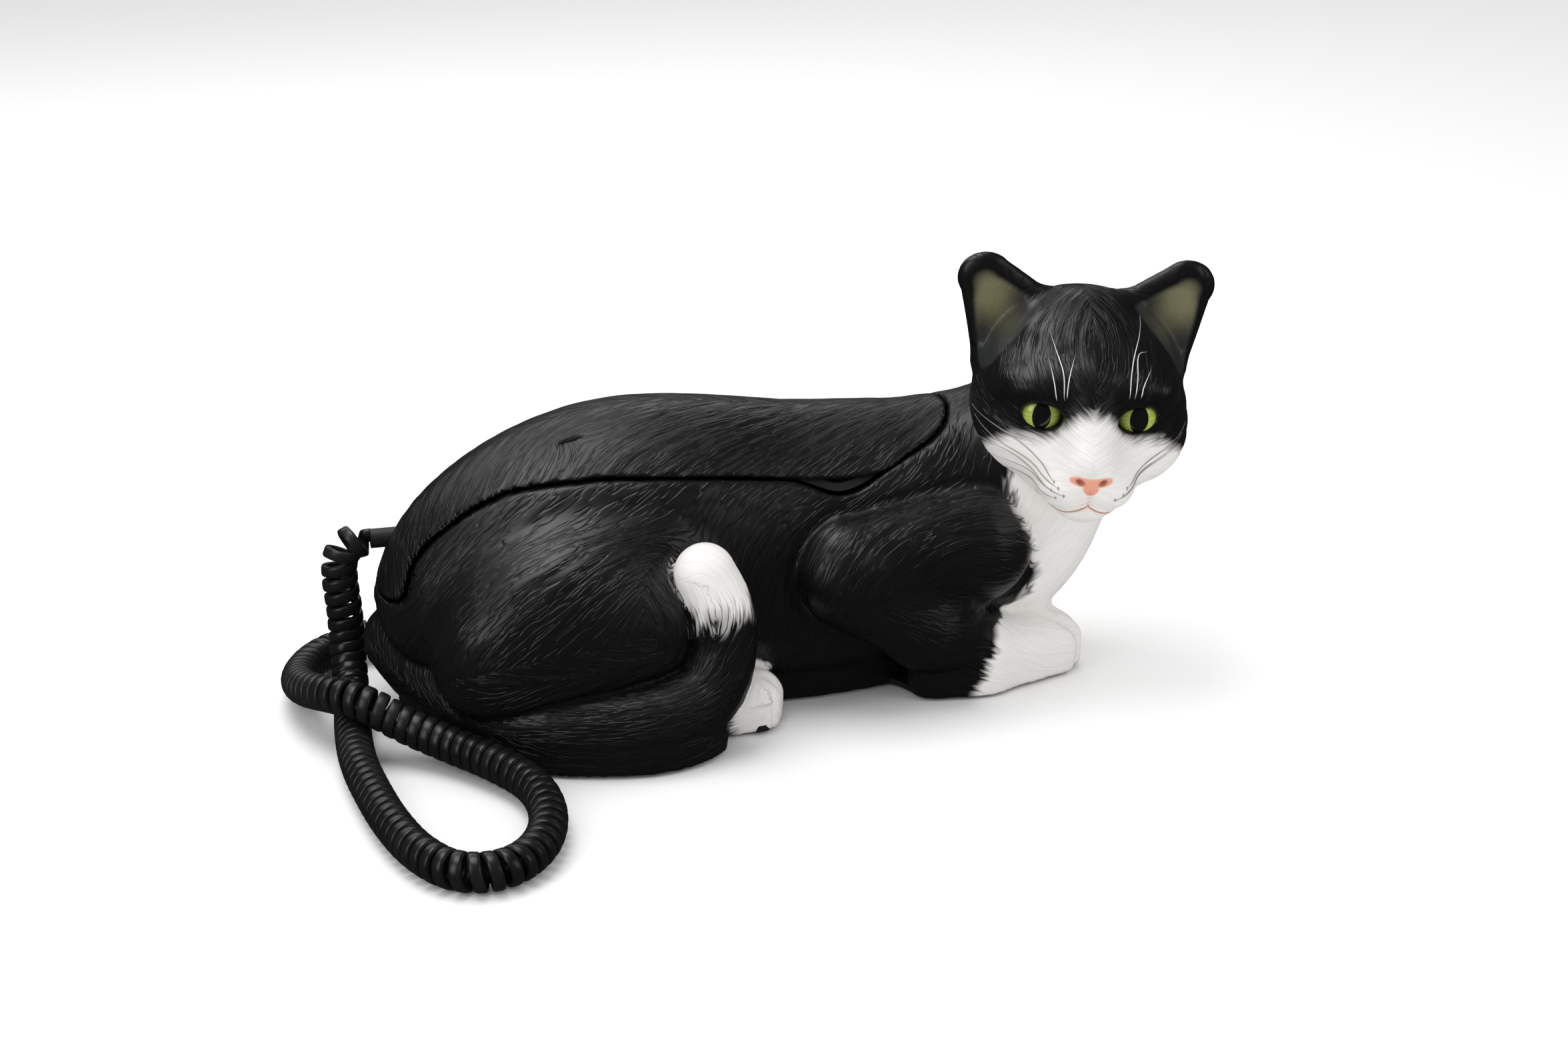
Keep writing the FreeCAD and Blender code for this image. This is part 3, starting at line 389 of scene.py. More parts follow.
def net(field, low, high, cell):
    """Surface net: one point in each grid cell that the surface crosses, at the mean of its crossings on the
    cell's edges, and a quad round each crossed grid edge. The points are then drawn onto the surface."""
    low, grid = sampled(field, low, high, cell)
    inside = grid < 0
    crowd = np.zeros(tuple(n - 1 for n in grid.shape), np.int8)
    corners = [(i, j, k) for i in (0, 1) for j in (0, 1) for k in (0, 1)]
    for i, j, k in corners:
        crowd += inside[i:crowd.shape[0] + i, j:crowd.shape[1] + j, k:crowd.shape[2] + k]
    at = np.argwhere((crowd > 0) & (crowd < 8))
    names = np.full(crowd.shape, -1, np.int64)
    names[tuple(at.T)] = np.arange(len(at))
    value = {c: grid[tuple((at + c).T)] for c in corners}
    total = np.zeros((len(at), 3))
    hits = np.zeros(len(at))
    for c in corners:
        for axis in range(3):
            if c[axis] == 0:
                e = tuple(n + (m == axis) for m, n in enumerate(c))
                a, b = value[c], value[e]
                crossed = (a < 0) != (b < 0)
                t = np.where(crossed, a / np.where(crossed, a - b, 1), 0)
                total += crossed[:, None] * (np.array(c, float) + t[:, None] * (np.arange(3) == axis))
                hits += crossed
    points = low + (at + total / hits[:, None]) * cell
    quads = []
    for axis in range(3):
        u, v = (axis + 1) % 3, (axis + 2) % 3
        first = np.moveaxis(inside, axis, 0)
        change = np.argwhere(np.moveaxis(first[:-1] != first[1:], 0, axis))
        change = change[(change[:, u] > 0) & (change[:, v] > 0)]
        change = change[(change[:, u] < crowd.shape[u]) & (change[:, v] < crowd.shape[v])]
        ring = []
        for du, dv in ((0, 0), (-1, 0), (-1, -1), (0, -1)):
            cells = change.copy()
            cells[:, u] += du
            cells[:, v] += dv
            ring.append(names[tuple(cells.T)])
        ring = np.stack(ring, -1)
        outward = inside[tuple(change.T)]
        quads.append(np.where(outward[:, None], ring, ring[:, ::-1]))
    quads = np.vstack(quads)
    points = settle(field, points, quads, cell)
    return points, quads


def neighbours(quads):
    """Each pair of points that share a quad's edge, once in each direction."""
    pairs = np.vstack([quads[:, (i, (i + 1) % 4)] for i in range(4)])
    return np.unique(np.vstack((pairs, pairs[:, ::-1])), axis=0)


def settle(field, points, quads, cell, rounds=2):
    """Evens the points out along the surface, and draws them onto it by value times gradient."""
    pairs = neighbours(quads)
    share = np.bincount(pairs[:, 0], minlength=len(points))[:, None]
    for _ in range(rounds):
        mean = np.stack([np.bincount(pairs[:, 0], points[pairs[:, 1], i], len(points)) for i in range(3)], -1) / share
        value, grad = slope(field, points)
        size = (grad**2).sum(-1, keepdims=True) + 1e-6
        normal = grad / np.sqrt(size)
        shift = 0.5 * (mean - points)
        shift -= (shift * normal).sum(-1, keepdims=True) * normal
        pull = value[:, None] * grad / np.maximum(size, 0.25)
        long = np.sqrt((pull**2).sum(-1, keepdims=True)) + 1e-9
        points = points + shift - pull * np.minimum(1, 0.6 * cell / long)
    return points


def facing(points, quads):
    """Unit normals at the points: the sum of the crossed diagonals of the quads round each."""
    a, b, c, d = (points[quads[:, i]] for i in range(4))
    face = np.cross(c - a, d - b)
    total = np.zeros_like(points)
    for corner in range(4):
        for axis in range(3):
            total[:, axis] += np.bincount(quads[:, corner], face[:, axis], len(points))
    return total / (np.sqrt((total**2).sum(-1, keepdims=True)) + 1e-12)


# ---- fur: the way the hairs lie, and one number that grows across them ----

def unit(v):
    """Each vector over its length."""
    return v / (np.sqrt((v * v).sum(-1, keepdims=True)) + 1e-9)


def across(points, quads, step):
    """The number u whose rise from point to point best matches the wanted step across the hairs.
    Least squares on the mesh's edges, solved by conjugate gradients; edges where the wanted steps
    disagree, as in a crease, count for little."""
    pairs = neighbours(quads)
    pairs = pairs[pairs[:, 0] < pairs[:, 1]]
    i, j = pairs.T
    wanted = ((points[j] - points[i]) * (step[i] + step[j])).sum(-1) / 2
    weight = np.exp(-2.5 * ((step[i] - step[j]) ** 2).sum(-1)) + 0.02
    count = len(points)

    def spread(u):
        flow = weight * (u[j] - u[i])
        return np.bincount(j, flow, count) - np.bincount(i, flow, count)

    u = np.zeros(count)
    rest = np.bincount(j, weight * wanted, count) - np.bincount(i, weight * wanted, count)
    scale = 1 / (np.bincount(i, weight, count) + np.bincount(j, weight, count))
    z = scale * rest
    way = z.copy()
    old = (rest * z).sum()
    for _ in range(HAIR_ROUNDS):
        push = spread(way)
        a = old / (way * push).sum()
        u = u + a * way
        rest = rest - a * push
        z = scale * rest
        new = (rest * z).sum()
        way = z + (new / old) * way
        old = new
    return u


def blended(ways):
    """Mixes the hair directions of several forms by how near each form's surface is."""
    nearest = np.min([d for d, _ in ways], axis=0)
    return unit(sum(np.exp(-(d - nearest) / 1.6)[:, None] * unit(way) for d, way in ways))


def tail_way(p):
    """Along the tail's line towards its tip."""
    line = TAIL_LINE[:, :3]
    best = np.argmin(((p[:, None] - line[None, ::2]) ** 2).sum(-1), axis=1) * 2
    ahead = line[np.minimum(best + 2, len(line) - 1)]
    return unit(ahead - line[np.maximum(best - 2, 0)])


def leaning(p, angle):
    """Hairs that run back and down at this angle to the level, in degrees."""
    a = np.radians(angle) * np.ones(len(p))
    return np.stack((-np.cos(a), np.zeros(len(p)), -np.sin(a)), -1)


def body_ways(p):
    """The way the hairs lie on each form: back and down on the flank, steeper on the thigh, to the toes on paws."""
    x, z = p[:, 0], p[:, 2]
    side = np.where(p[:, 1] < MIDDLE, -1.0, 1.0)
    flank = leaning(p, 38 + 22 * ramp(x, 60, -10) + 6 * ramp(z, 60, 20))
    chest = leaning(p, 50 + 38 * ramp(x, 80, 125))
    flank = flank + (chest - flank) * ramp(x, 70, 112)[:, None]
    thigh = leaning(p, 52 + 0.42 * (x + 44) + 10 * ramp(z, 40, 10))
    upper = leaning(p, 20 + 0.9 * np.clip(100 - x, 0, 60))
    upper[:, 0] *= np.where(z > 62, 1.0, 0.8)
    ways = [(trunk(p), flank)]
    for s in SIDES:
        toes = np.stack((np.ones(len(p)), np.zeros(len(p)), -0.15 * np.ones(len(p))), -1)
        lower = np.stack((np.ones(len(p)), np.zeros(len(p)), -0.55 * np.ones(len(p))), -1)
        ways.append((haunch(p, s), thigh))
        ways.append((arm(p, s) + 0.4, np.where((z > 44)[:, None], upper, lower)))
        ways.append((paw(p, s), toes))
        ways.append((hind_paw(p, s), toes))
    ways.append((tail(p), tail_way(p)))
    return blended(ways), side


def body_hair(points, normals):
    """The step across the hairs: normal x way, turned so that it grows upwards on both sides."""
    way, side = body_ways(points)
    step = unit(np.cross(normals, way)) * -side[:, None]
    on_tail = tail(points) < trunk(points) - 2
    lift = np.where(normals[:, 2] > 0, 1.0, -1.0)
    plain = unit(np.cross(normals, tail_way(points))) * lift[:, None]
    return np.where(on_tail[:, None], plain, step)


def back_hair(points, normals):
    """Herringbone from the spine: back and outwards, steeper towards the rump."""
    x = points[:, 0]
    side = np.where(points[:, 1] < MIDDLE, -1.0, 1.0)
    out = 0.2 + 0.25 * ramp(x, 90, 20) + 0.65 * ramp(x, 10, -110)
    round_spine = unit(np.stack((np.zeros(len(x)), normals[:, 2], -normals[:, 1]), -1)) * side[:, None]
    way = unit(np.stack((-np.ones(len(x)), np.zeros(len(x)), np.zeros(len(x))), -1) + out[:, None] * round_spine)
    return unit(np.cross(normals, way)) * -side[:, None]


def head_hair(points, normals):
    """Hairs fan out from the nose over the cheeks and straight up and back over the forehead."""
    q = to_head(points)
    a = mirrored(q)
    from_nose = a - np.array((46, 0, -12))
    from_nose[:, 1] *= 1.25
    up = np.stack((-0.6 * np.ones(len(a)), 0.25 * a[:, 1] / 20, np.ones(len(a))), -1)
    brow = ramp(a[:, 2], 2, 12)[:, None]
    way = unit(from_nose) * (1 - brow) + unit(up) * brow
    ear = ramp(ear_blade(a), 2, -0.5)[:, None]
    way = way * (1 - ear) + unit(np.array((0.0, 0.45, 1.0))) * ear
    way[:, 1] *= np.where(q[:, 1] < 0, -1, 1)
    side = np.where(q[:, 1] < 0, -1.0, 1.0)
    return unit(np.cross(normals, way @ HEAD_TURN.T)) * -side[:, None]


def on_skin(field, points):
    """1 at points on the outer skin and 0 on the inner walls, from how far the field is from nothing there."""
    return ramp(-np.abs(field(points)), -1.2, -0.4)


def clumps(points, u):
    """Coarse locks of hair: two sine waves across the hairs, whose phases wander along the body."""
    x, y, z = points.T
    wander = 1.7 * np.sin(x / 15 + z / 21) + 1.3 * np.sin(y / 11 - x / 27 + z / 17)
    return 0.6 * np.sin(2 * np.pi * u / 5.3 + wander) + 0.4 * np.sin(2 * np.pi * u / 3.6 - 1.4 * wander + 1)


# ---- paint masks ----

# The rear edge of the white on chest and front paws, height to x, and the white's upper edge on the
# face, distance from the middle to height.
BIB = (
    (0, 97), (11, 99), (27, 106), (31, 119), (43, 122.5), (58.6, 118.5), (70, 111.5), (80, 111), (90, 117), (120, 135),
)
FACE_LINE = ((0, 6.4), (5, 5.2), (8.5, 1.2), (12, -3.2), (16, -4.8), (21, -4.2), (26, -5.4), (32, -10), (38, -17))


def body_white(p):
    """Millimetres inside the white: the bib and front paws, the hind toes and the tail's tip."""
    bib = p[:, 0] - np.interp(p[:, 2], *np.array(BIB).T)
    low = np.stack((p[:, 0], p[:, 1], np.maximum(p[:, 2], FOOT_LEVEL)), -1)
    near_toes = np.minimum(hind_paw(low, -1), hind_paw(low, 1))
    toes = np.minimum.reduce((p[:, 0] - 3, (2.2 - near_toes) * 3, (tail(low) - 0.6) * 3))
    side = np.minimum.reduce((trunk(p) - 0.5, haunch(p, -1) - 0.2, p[:, 0] + 30, (1.5 - tail(p)) * 2))
    tip = np.minimum((p[:, 2] - 52 - 0.2 * (p[:, 0] + 4)) * 0.45, side * 1.8)
    return np.maximum.reduce((bib, toes, tip))


def head_white(q):
    """Millimetres inside the white of the face, in the head's axes."""
    a = mirrored(q)
    below = np.interp(a[:, 1], *np.array(FACE_LINE).T) - a[:, 2]
    return np.minimum(below, a[:, 0] + 1)


# ---- making meshes ----

def add_piece(name, points, faces, home, body_name, replaced=(), smooth=True):
    """A mesh object from points in the cat's axes (home True) or in the frame's metres, riding on a body."""
    place = (points - ORIGIN) * MM if home else points
    mesh = bpy.data.meshes.new(name)
    if isinstance(faces, np.ndarray):
        size = faces.shape[1]
        mesh.vertices.add(len(place))
        mesh.vertices.foreach_set("co", np.ascontiguousarray(place, np.float32).ravel())
        mesh.loops.add(faces.size)
        mesh.loops.foreach_set("vertex_index", np.ascontiguousarray(faces, np.int32).ravel())
        mesh.polygons.add(len(faces))
        mesh.polygons.foreach_set("loop_start", np.arange(0, faces.size, size, dtype=np.int32))
        mesh.update(calc_edges=True)
    else:
        mesh.from_pydata(place.tolist(), [], faces)
    mesh.validate()
    if smooth:
        mesh.shade_smooth()
    piece = bpy.data.objects.new(name, mesh)
    bpy.context.scene.collection.objects.link(piece)
    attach(piece, body_name)
    if replaced:
        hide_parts(*replaced)
    return piece


def mark(piece, name, values):
    """Stores a number, or a vector, at each point under this name."""
    values = np.asarray(values, np.float32)
    kind, key = ("FLOAT", "value") if values.ndim == 1 else ("FLOAT_VECTOR", "vector")
    attribute = piece.data.attributes.new(name, kind, "POINT")
    attribute.data.foreach_set(key, np.ascontiguousarray(values).ravel())


def lattice(rows, columns):
    """Quads between rings of points, ring after ring; each ring closes on itself."""
    i = np.arange(rows - 1)[:, None]
    j = np.arange(columns)[None]
    a = i * columns + j
    b = i * columns + (j + 1) % columns
    c = (i + 1) * columns + (j + 1) % columns
    d = (i + 1) * columns + j
    return np.stack((a, b, c, d), -1).reshape(-1, 4)


def directions(path):
    """Unit tangents, and two square directions carried along the path without twist."""
    tangent = unit(np.gradient(path, axis=0))
    normal = np.empty_like(path)
    first = np.array((0, 0, 1.0)) if abs(tangent[0, 2]) < 0.8 else np.array((1.0, 0, 0))
    normal[0] = unit(np.cross(np.cross(tangent[0], first), tangent[0]))
    for i in range(1, len(path)):
        n = normal[i - 1] - tangent[i] * (normal[i - 1] @ tangent[i])
        normal[i] = n / np.linalg.norm(n)
    return tangent, normal, np.cross(tangent, normal)


def swept(path, wide, high, profile, up):
    """A closed profile carried along a path: point = path + wide * profile x * side + high * profile y * up.
    Each end is closed with one face."""
    tangent = unit(np.gradient(path, axis=0))
    side = unit(np.cross(tangent, up))
    up = unit(np.cross(side, tangent))
    wide = np.broadcast_to(wide, len(path))[:, None, None]
    high = np.broadcast_to(high, len(path))[:, None, None]
    ring = path[:, None] + wide * profile[None, :, :1] * side[:, None] + high * profile[None, :, 1:] * up[:, None]
    count = len(profile)
    faces = lattice(len(path), count)[:, ::-1].tolist()
    faces.append(list(range(count)))
    faces.append(list(range((len(path) - 1) * count, len(path) * count))[::-1])
    return ring.reshape(-1, 3), faces


def rounded_profile(count, power):
    """A superellipse of half sizes 1 and 1."""
    t = np.arange(count) / count * 2 * np.pi
    c, s = np.cos(t), np.sin(t)
    return np.stack((np.sign(c) * np.abs(c) ** power, np.sign(s) * np.abs(s) ** power), -1)


# ---- the cord ----

CORD_ROUTE = (
    (-112, 14, 61), (-118.5, 14, 61), (-123.2, 15, 55.5), (-123.6, 15.5, 46), (-122.4, 15.3, 35),
    (-122.2, 15, 24), (-122.4, 9, 12), (-123.8, -8, 6.8), (-126.5, -32, 6.8), (-127.5, -57, 6.8), (-125.5, -82, 6.8),
    (-122.5, -106, 6.8), (-117, -129, 6.8), (-107, -146, 6.8), (-91, -147, 6.8), (-78, -133, 6.8),
    (-71.5, -111, 6.8), (-73, -89, 7.4), (-84, -70, 8.5), (-97, -54, 9.5), (-110, -44, 13.5), (-122, -38, 20.4),
    (-132, -28, 20.4), (-140.5, -5, 14), (-140.5, 20, 8), (-133, 39, 6.8), (-121, 48, 7.5), (-109, 49, 10),
    (-99, 46, 12.5),
)
CORD_WIRE = (4.3, 2.5)  # the coiled wire: along the coil, and through its thickness


def route_points():
    """The smooth line of the route, read from a NURBS curve that has the route's points as controls."""
    curve = bpy.data.curves.new("cord_line", "CURVE")
    curve.dimensions = "3D"
    curve.resolution_u = 16
    spline = curve.splines.new("NURBS")
    spline.points.add(len(CORD_ROUTE) - 1)
    for point, place in zip(spline.points, CORD_ROUTE):
        point.co = (*((np.array(place) - ORIGIN) * MM), 1)
    spline.order_u = 3
    spline.use_endpoint_u = True
    line = bpy.data.objects.new("cord_line", curve)
    mesh = bpy.data.meshes.new_from_object(line)
    points = np.array([v.co for v in mesh.vertices], float)
    bpy.data.objects.remove(line)
    return points


def even(path, step):
    """The same line with its points spaced evenly, about step apart."""
    long = np.concatenate(((0,), np.cumsum(np.linalg.norm(np.diff(path, axis=0), axis=1))))
    at = np.linspace(0, long[-1], int(round(long[-1] / step)) + 1)
    return np.stack([np.interp(at, long, path[:, i]) for i in range(3)], -1), long[-1]


def coil(path, long):
    """The wire's line: path + r (cos a n + sin a b), with the angle a growing by a turn each pitch.
    The first turns stand wider apart, and r falls to nothing where the wire runs into each plug."""
    s = sizes()
    outer, pitch = s.cord_diameter, s.cord_pitch
    radius = outer / 2 - CORD_WIRE[1] * MM / 2
    along = np.linspace(0, 1, len(path)) * long
    opening = 1 + 0.55 * np.exp(-along / 0.012) + 0.16 * np.exp(-(((along - 0.27) / 0.02) ** 2))
    angle = np.concatenate(((0,), np.cumsum(2 * np.pi * np.diff(along) / (pitch * opening[1:]))))
    end = np.clip(np.minimum(along, long - along) / 0.006, 0, 1)
    lead = np.sqrt(end * (2 - end))
    _, normal, other = directions(path)
    reach = (radius * lead)[:, None]
    return path + reach * (np.cos(angle)[:, None] * normal + np.sin(angle)[:, None] * other)


# ---- materials ----

def feed(tree, socket, value):
    """Links another node's output to the socket, or sets a plain value on it."""
    if isinstance(value, bpy.types.NodeSocket):
        tree.links.new(value, socket)
    else:
        socket.default_value = value


def wire_up(tree, kind, inputs=None, **settings):
    """A node with its settings made and its inputs fed."""
    node = tree.nodes.new(kind)
    for key, value in settings.items():
        setattr(node, key, value)
    for key, value in (inputs or {}).items():
        feed(tree, node.inputs[key], value)
    return node


def new_group(name, inputs, outputs):
    """A shader group with named sockets: its tree, its inputs' values and its outputs."""
    tree = bpy.data.node_groups.new(name, "ShaderNodeTree")
    for socket, value in inputs:
        kind = "NodeSocketColor" if isinstance(value, tuple) else "NodeSocketFloat"
        tree.interface.new_socket(socket, in_out="INPUT", socket_type=kind).default_value = value
    for socket, kind in outputs:
        tree.interface.new_socket(socket, in_out="OUTPUT", socket_type=kind)
    return tree, tree.nodes.new("NodeGroupInput").outputs, tree.nodes.new("NodeGroupOutput").inputs


def maths(tree, operation, a, b=0.0, c=0.0):
    """The output of a Math node."""
    return wire_up(tree, "ShaderNodeMath", {0: a, 1: b, 2: c}, operation=operation).outputs[0]


def spread(tree, value, low, high, to_low=0.0, to_high=1.0):
    """The value's place between low and high, on a smooth step between two new ends."""
    node = wire_up(tree, "ShaderNodeMapRange", {"Value": value, "From Min": low, "From Max": high,
                                                "To Min": to_low, "To Max": to_high},
                   interpolation_type="SMOOTHSTEP")
    return node.outputs["Result"]


def group_use(tree, name, inputs=None):
    """A group placed in a material, with its own values."""
    node = tree.nodes.new("ShaderNodeGroup")
    node.node_tree = bpy.data.node_groups[name]
    for key, value in (inputs or {}).items():
        feed(tree, node.inputs[key], value)
    return node.outputs


def make_hair_group():
    """Moulded hair: 4D noise that changes fast across the hairs and slowly along the body."""
    tree, given, out = new_group(
        "moulded_hair", (("Width", 1.0), ("Length", 14.0)),
        (("Height", "NodeSocketFloat"), ("Groove", "NodeSocketFloat")))
    hair = wire_up(tree, "ShaderNodeAttribute", attribute_name="hair_across").outputs["Fac"]
    place = wire_up(tree, "ShaderNodeTexCoord").outputs["Object"]
    slow = wire_up(tree, "ShaderNodeVectorMath", {0: place, "Scale": 1000.0}, operation="SCALE").outputs[0]
    per_length = maths(tree, "DIVIDE", 1.0, given["Length"])
    slow = wire_up(tree, "ShaderNodeVectorMath", {0: slow, "Scale": per_length}, operation="SCALE").outputs[0]
    heights = []
    for wide, detail in ((1.0, 1.5), (2.7, 1.0), (7.0, 0.0)):
        fast = maths(tree, "DIVIDE", hair, maths(tree, "MULTIPLY", given["Width"], wide))
        noise = wire_up(tree, "ShaderNodeTexNoise", {"Vector": slow, "W": fast, "Scale": 1.0, "Detail": detail,
                                                     "Roughness": 0.6}, noise_dimensions="4D")
        heights.append(noise.outputs[0])
    fine = spread(tree, maths(tree, "ABSOLUTE", maths(tree, "SUBTRACT", heights[0], 0.5)), 0.0, 0.075)
    locks = spread(tree, heights[1], 0.36, 0.62)
    total = maths(tree, "ADD", maths(tree, "MULTIPLY", fine, 0.38), maths(tree, "MULTIPLY", locks, 0.38))
    total = maths(tree, "ADD", total, maths(tree, "MULTIPLY", heights[2], 0.3))
    tree.links.new(total, out["Height"])
    # Groove: 1 down in the narrow grooves between the hairs, 0 on the hairs; the paint uses it to paint shade into the
    # grooves.
    tree.links.new(maths(tree, "SUBTRACT", 1.0, fine), out["Groove"])


def make_spray_group():
    """Sprayed paint: 1 inside a distance held at the points, fading over a soft edge broken up by the hairs."""
    tree, given, out = new_group(
        "sprayed_edge", (("Distance", 0.0), ("Softness", 3.0), ("Hair", 0.5), ("Streak", 2.0)),
        (("Mask", "NodeSocketFloat"),))
    shifted = maths(tree, "ADD", given["Distance"],
                    maths(tree, "MULTIPLY", maths(tree, "SUBTRACT", given["Hair"], 0.5), given["Streak"]))
    low = maths(tree, "MULTIPLY", given["Softness"], -1.0)
    node = wire_up(tree, "ShaderNodeMapRange", {"Value": shifted, "From Min": low, "From Max": given["Softness"]},
                   interpolation_type="SMOOTHSTEP")
    tree.links.new(node.outputs["Result"], out["Mask"])


def make_grain_group():
    """Moulded plastic: faint tone changes and a fine grain for roughness and height."""
    tree, given, out = new_group(
        "moulded_grain", (("Grain", 900.0), ("Cloud", 30.0)),
        (("Height", "NodeSocketFloat"), ("Tone", "NodeSocketFloat")))
    place = wire_up(tree, "ShaderNodeTexCoord").outputs["Object"]
    grain = wire_up(tree, "ShaderNodeTexNoise", {"Vector": place, "Scale": given["Grain"], "Detail": 2.0})
    cloud = wire_up(tree, "ShaderNodeTexNoise", {"Vector": place, "Scale": given["Cloud"], "Detail": 3.0})
    tree.links.new(grain.outputs[0], out["Height"])
    tree.links.new(cloud.outputs[0], out["Tone"])


def new_material(name):
    material = bpy.data.materials.new(name)
    material.use_nodes = True
    tree = material.node_tree
    return material, tree, tree.nodes["Principled BSDF"]


def mix(tree, factor, a, b):
    """The colour between a and b."""
    node = wire_up(tree, "ShaderNodeMix", {"Factor": factor}, data_type="RGBA")
    for index, colour in ((6, a), (7, b)):
        linked = isinstance(colour, bpy.types.NodeSocket)
        feed(tree, node.inputs[index], colour if linked else (*colour[:3], 1))
    return node.outputs[2]


def stored(tree, name):
    """A number held at the mesh's points."""
    return wire_up(tree, "ShaderNodeAttribute", attribute_name=name).outputs["Fac"]


def bump(tree, height, strength, distance):
    return wire_up(tree, "ShaderNodeBump", {"Height": height, "Strength": strength, "Distance": distance}).outputs[0]


def furred_paint(name, width, depth, soft=2.6, streak=5.0):
    """Black and white sprayed paint over moulded hair: the material, and its tree, shader and colour for more."""
    tone = colours()
    material, tree, skin = new_material(name)
    hair = group_use(tree, "moulded_hair", {"Width": width, "Length": 15.0})
    grain = group_use(tree, "moulded_grain", {"Grain": 700.0, "Cloud": 26.0})
    white = group_use(tree, "sprayed_edge", {"Distance": stored(tree, "white"), "Softness": soft,
                                             "Hair": hair["Height"], "Streak": streak})["Mask"]
    # Painted shade: the black and the white are both painted darker down in the hair's grooves.
    black = mix(tree, maths(tree, "MULTIPLY", hair["Groove"], 0.35), tone.black, tone.black_groove_shade)
    cream = mix(tree, maths(tree, "MULTIPLY", hair["Groove"], 0.10), tone.white, tone.white_groove_shade)
    colour = mix(tree, white, black, cream)
    rough = spread(tree, grain["Tone"], 0.3, 0.7, 0.31, 0.42)
    rough = maths(tree, "ADD", rough, maths(tree, "MULTIPLY", white, 0.1))
    tree.links.new(rough, skin.inputs["Roughness"])
    height = maths(tree, "MULTIPLY", hair["Height"], stored(tree, "hair_depth"))
    height = maths(tree, "ADD", height, maths(tree, "MULTIPLY", grain["Height"], 0.03))
    tree.links.new(bump(tree, height, 1.0, depth), skin.inputs["Normal"])
    tree.links.new(colour, skin.inputs["Base Color"])
    return material, tree, skin, colour


def body_paint():
    """Paint of the casing."""
    return furred_paint("painted_fur_body", 1.5, 0.00042)[0]


def back_paint():
    """Paint of the handset."""
    return furred_paint("painted_fur_back", 1.1, 0.00032)[0]


def face_paint():
    """The body's paint with the pink nose, the shaded ear cups and the dark rims of the eyes."""
    tone = colours()
    material, tree, skin, colour = furred_paint("painted_fur_face", 1.2, 0.00032, 3.2, 3.0)
    ear = spread(tree, stored(tree, "ear_inside"), -1.3, 0.2)
    deep = spread(tree, stored(tree, "ear_up"), 0.0, 1.0)
    lining = mix(tree, deep, tone.ear_low, tone.ear_high)
    colour = mix(tree, ear, colour, lining)
    nose = spread(tree, stored(tree, "nose"), -0.35, 0.35)
    # Painted shade: the nostril hollows get a darker copy of the nose's pink.
    dark = spread(tree, stored(tree, "nostril"), -0.5, 0.4)
    colour = mix(tree, nose, colour, mix(tree, dark, tone.nose, tone.nostril))
    rim = spread(tree, stored(tree, "eye_rim"), -0.5, 0.5)
    colour = mix(tree, rim, colour, tone.black)
    shade = spread(tree, stored(tree, "blush"), -2.0, 4.0, 0.0, 0.16)
    colour = mix(tree, shade, colour, tone.nose)
    tree.links.new(colour, skin.inputs["Base Color"])
    return material


def eye_paint():
    """A painted eye under clear gloss: dark edge, yellow-green iris with fine rays, and an upright pupil."""
    tone = colours()
    material, tree, skin = new_material("painted_eye")
    gaze = wire_up(tree, "ShaderNodeAttribute", attribute_name="gaze").outputs["Vector"]
    parts = wire_up(tree, "ShaderNodeSeparateXYZ", {0: gaze}).outputs
    far = wire_up(tree, "ShaderNodeVectorMath", {0: gaze}, operation="LENGTH").outputs["Value"]
    turned = maths(tree, "ARCTAN2", parts[1], parts[0])
    rays = wire_up(tree, "ShaderNodeTexNoise", {"W": maths(tree, "MULTIPLY", turned, 9.0), "Scale": 1.0, "Detail": 2.0},
                   noise_dimensions="1D").outputs[0]
    inner = mix(tree, spread(tree, rays, 0.3, 0.7), tone.iris, tone.iris_light)
    iris = mix(tree, spread(tree, far, 4.6, 7.2), inner, tone.iris_edge)
    across = maths(tree, "POWER", maths(tree, "ABSOLUTE", maths(tree, "DIVIDE", parts[0], 3.2)), 2.0)
    upright = maths(tree, "POWER", maths(tree, "ABSOLUTE", maths(tree, "DIVIDE", parts[1], 4.9)), 2.0)
    pupil = spread(tree, maths(tree, "ADD", across, upright), 0.93, 1.07, 1.0, 0.0)
    colour = mix(tree, pupil, iris, tone.black)
    tree.links.new(colour, skin.inputs["Base Color"])
    skin.inputs["Roughness"].default_value = 0.12
    skin.inputs["Coat Weight"].default_value = 0.8
    skin.inputs["Coat Roughness"].default_value = 0.04
    return material


def plain_finish(name, colour, rough, metallic=0.0, grain=600.0, depth=0.00003, shift=0.25):
    """A moulded, pressed or cast finish: cloudy tone, uneven roughness and fine grain."""
    material, tree, skin = new_material(name)
    marks = group_use(tree, "moulded_grain", {"Grain": grain, "Cloud": 40.0})
    lighter = tuple(min(1.0, c * (1 + shift) + 0.004) for c in colour[:3])
    tree.links.new(mix(tree, spread(tree, marks["Tone"], 0.35, 0.7), colour, lighter), skin.inputs["Base Color"])
    tree.links.new(spread(tree, marks["Tone"], 0.3, 0.7, rough - 0.06, rough + 0.06), skin.inputs["Roughness"])
    tree.links.new(bump(tree, marks["Height"], 0.6, depth), skin.inputs["Normal"])
    skin.inputs["Metallic"].default_value = metallic
    return material


# ---- sizes and colours that a user may change ----

def length_property(name, description, default):
    return bpy.props.FloatProperty(name=name, description=description, default=default, unit="LENGTH", precision=4)


def colour_property(name, description, default):
    return bpy.props.FloatVectorProperty(name=name, description=description, default=default, subtype="COLOR",
                                         min=0, max=1)


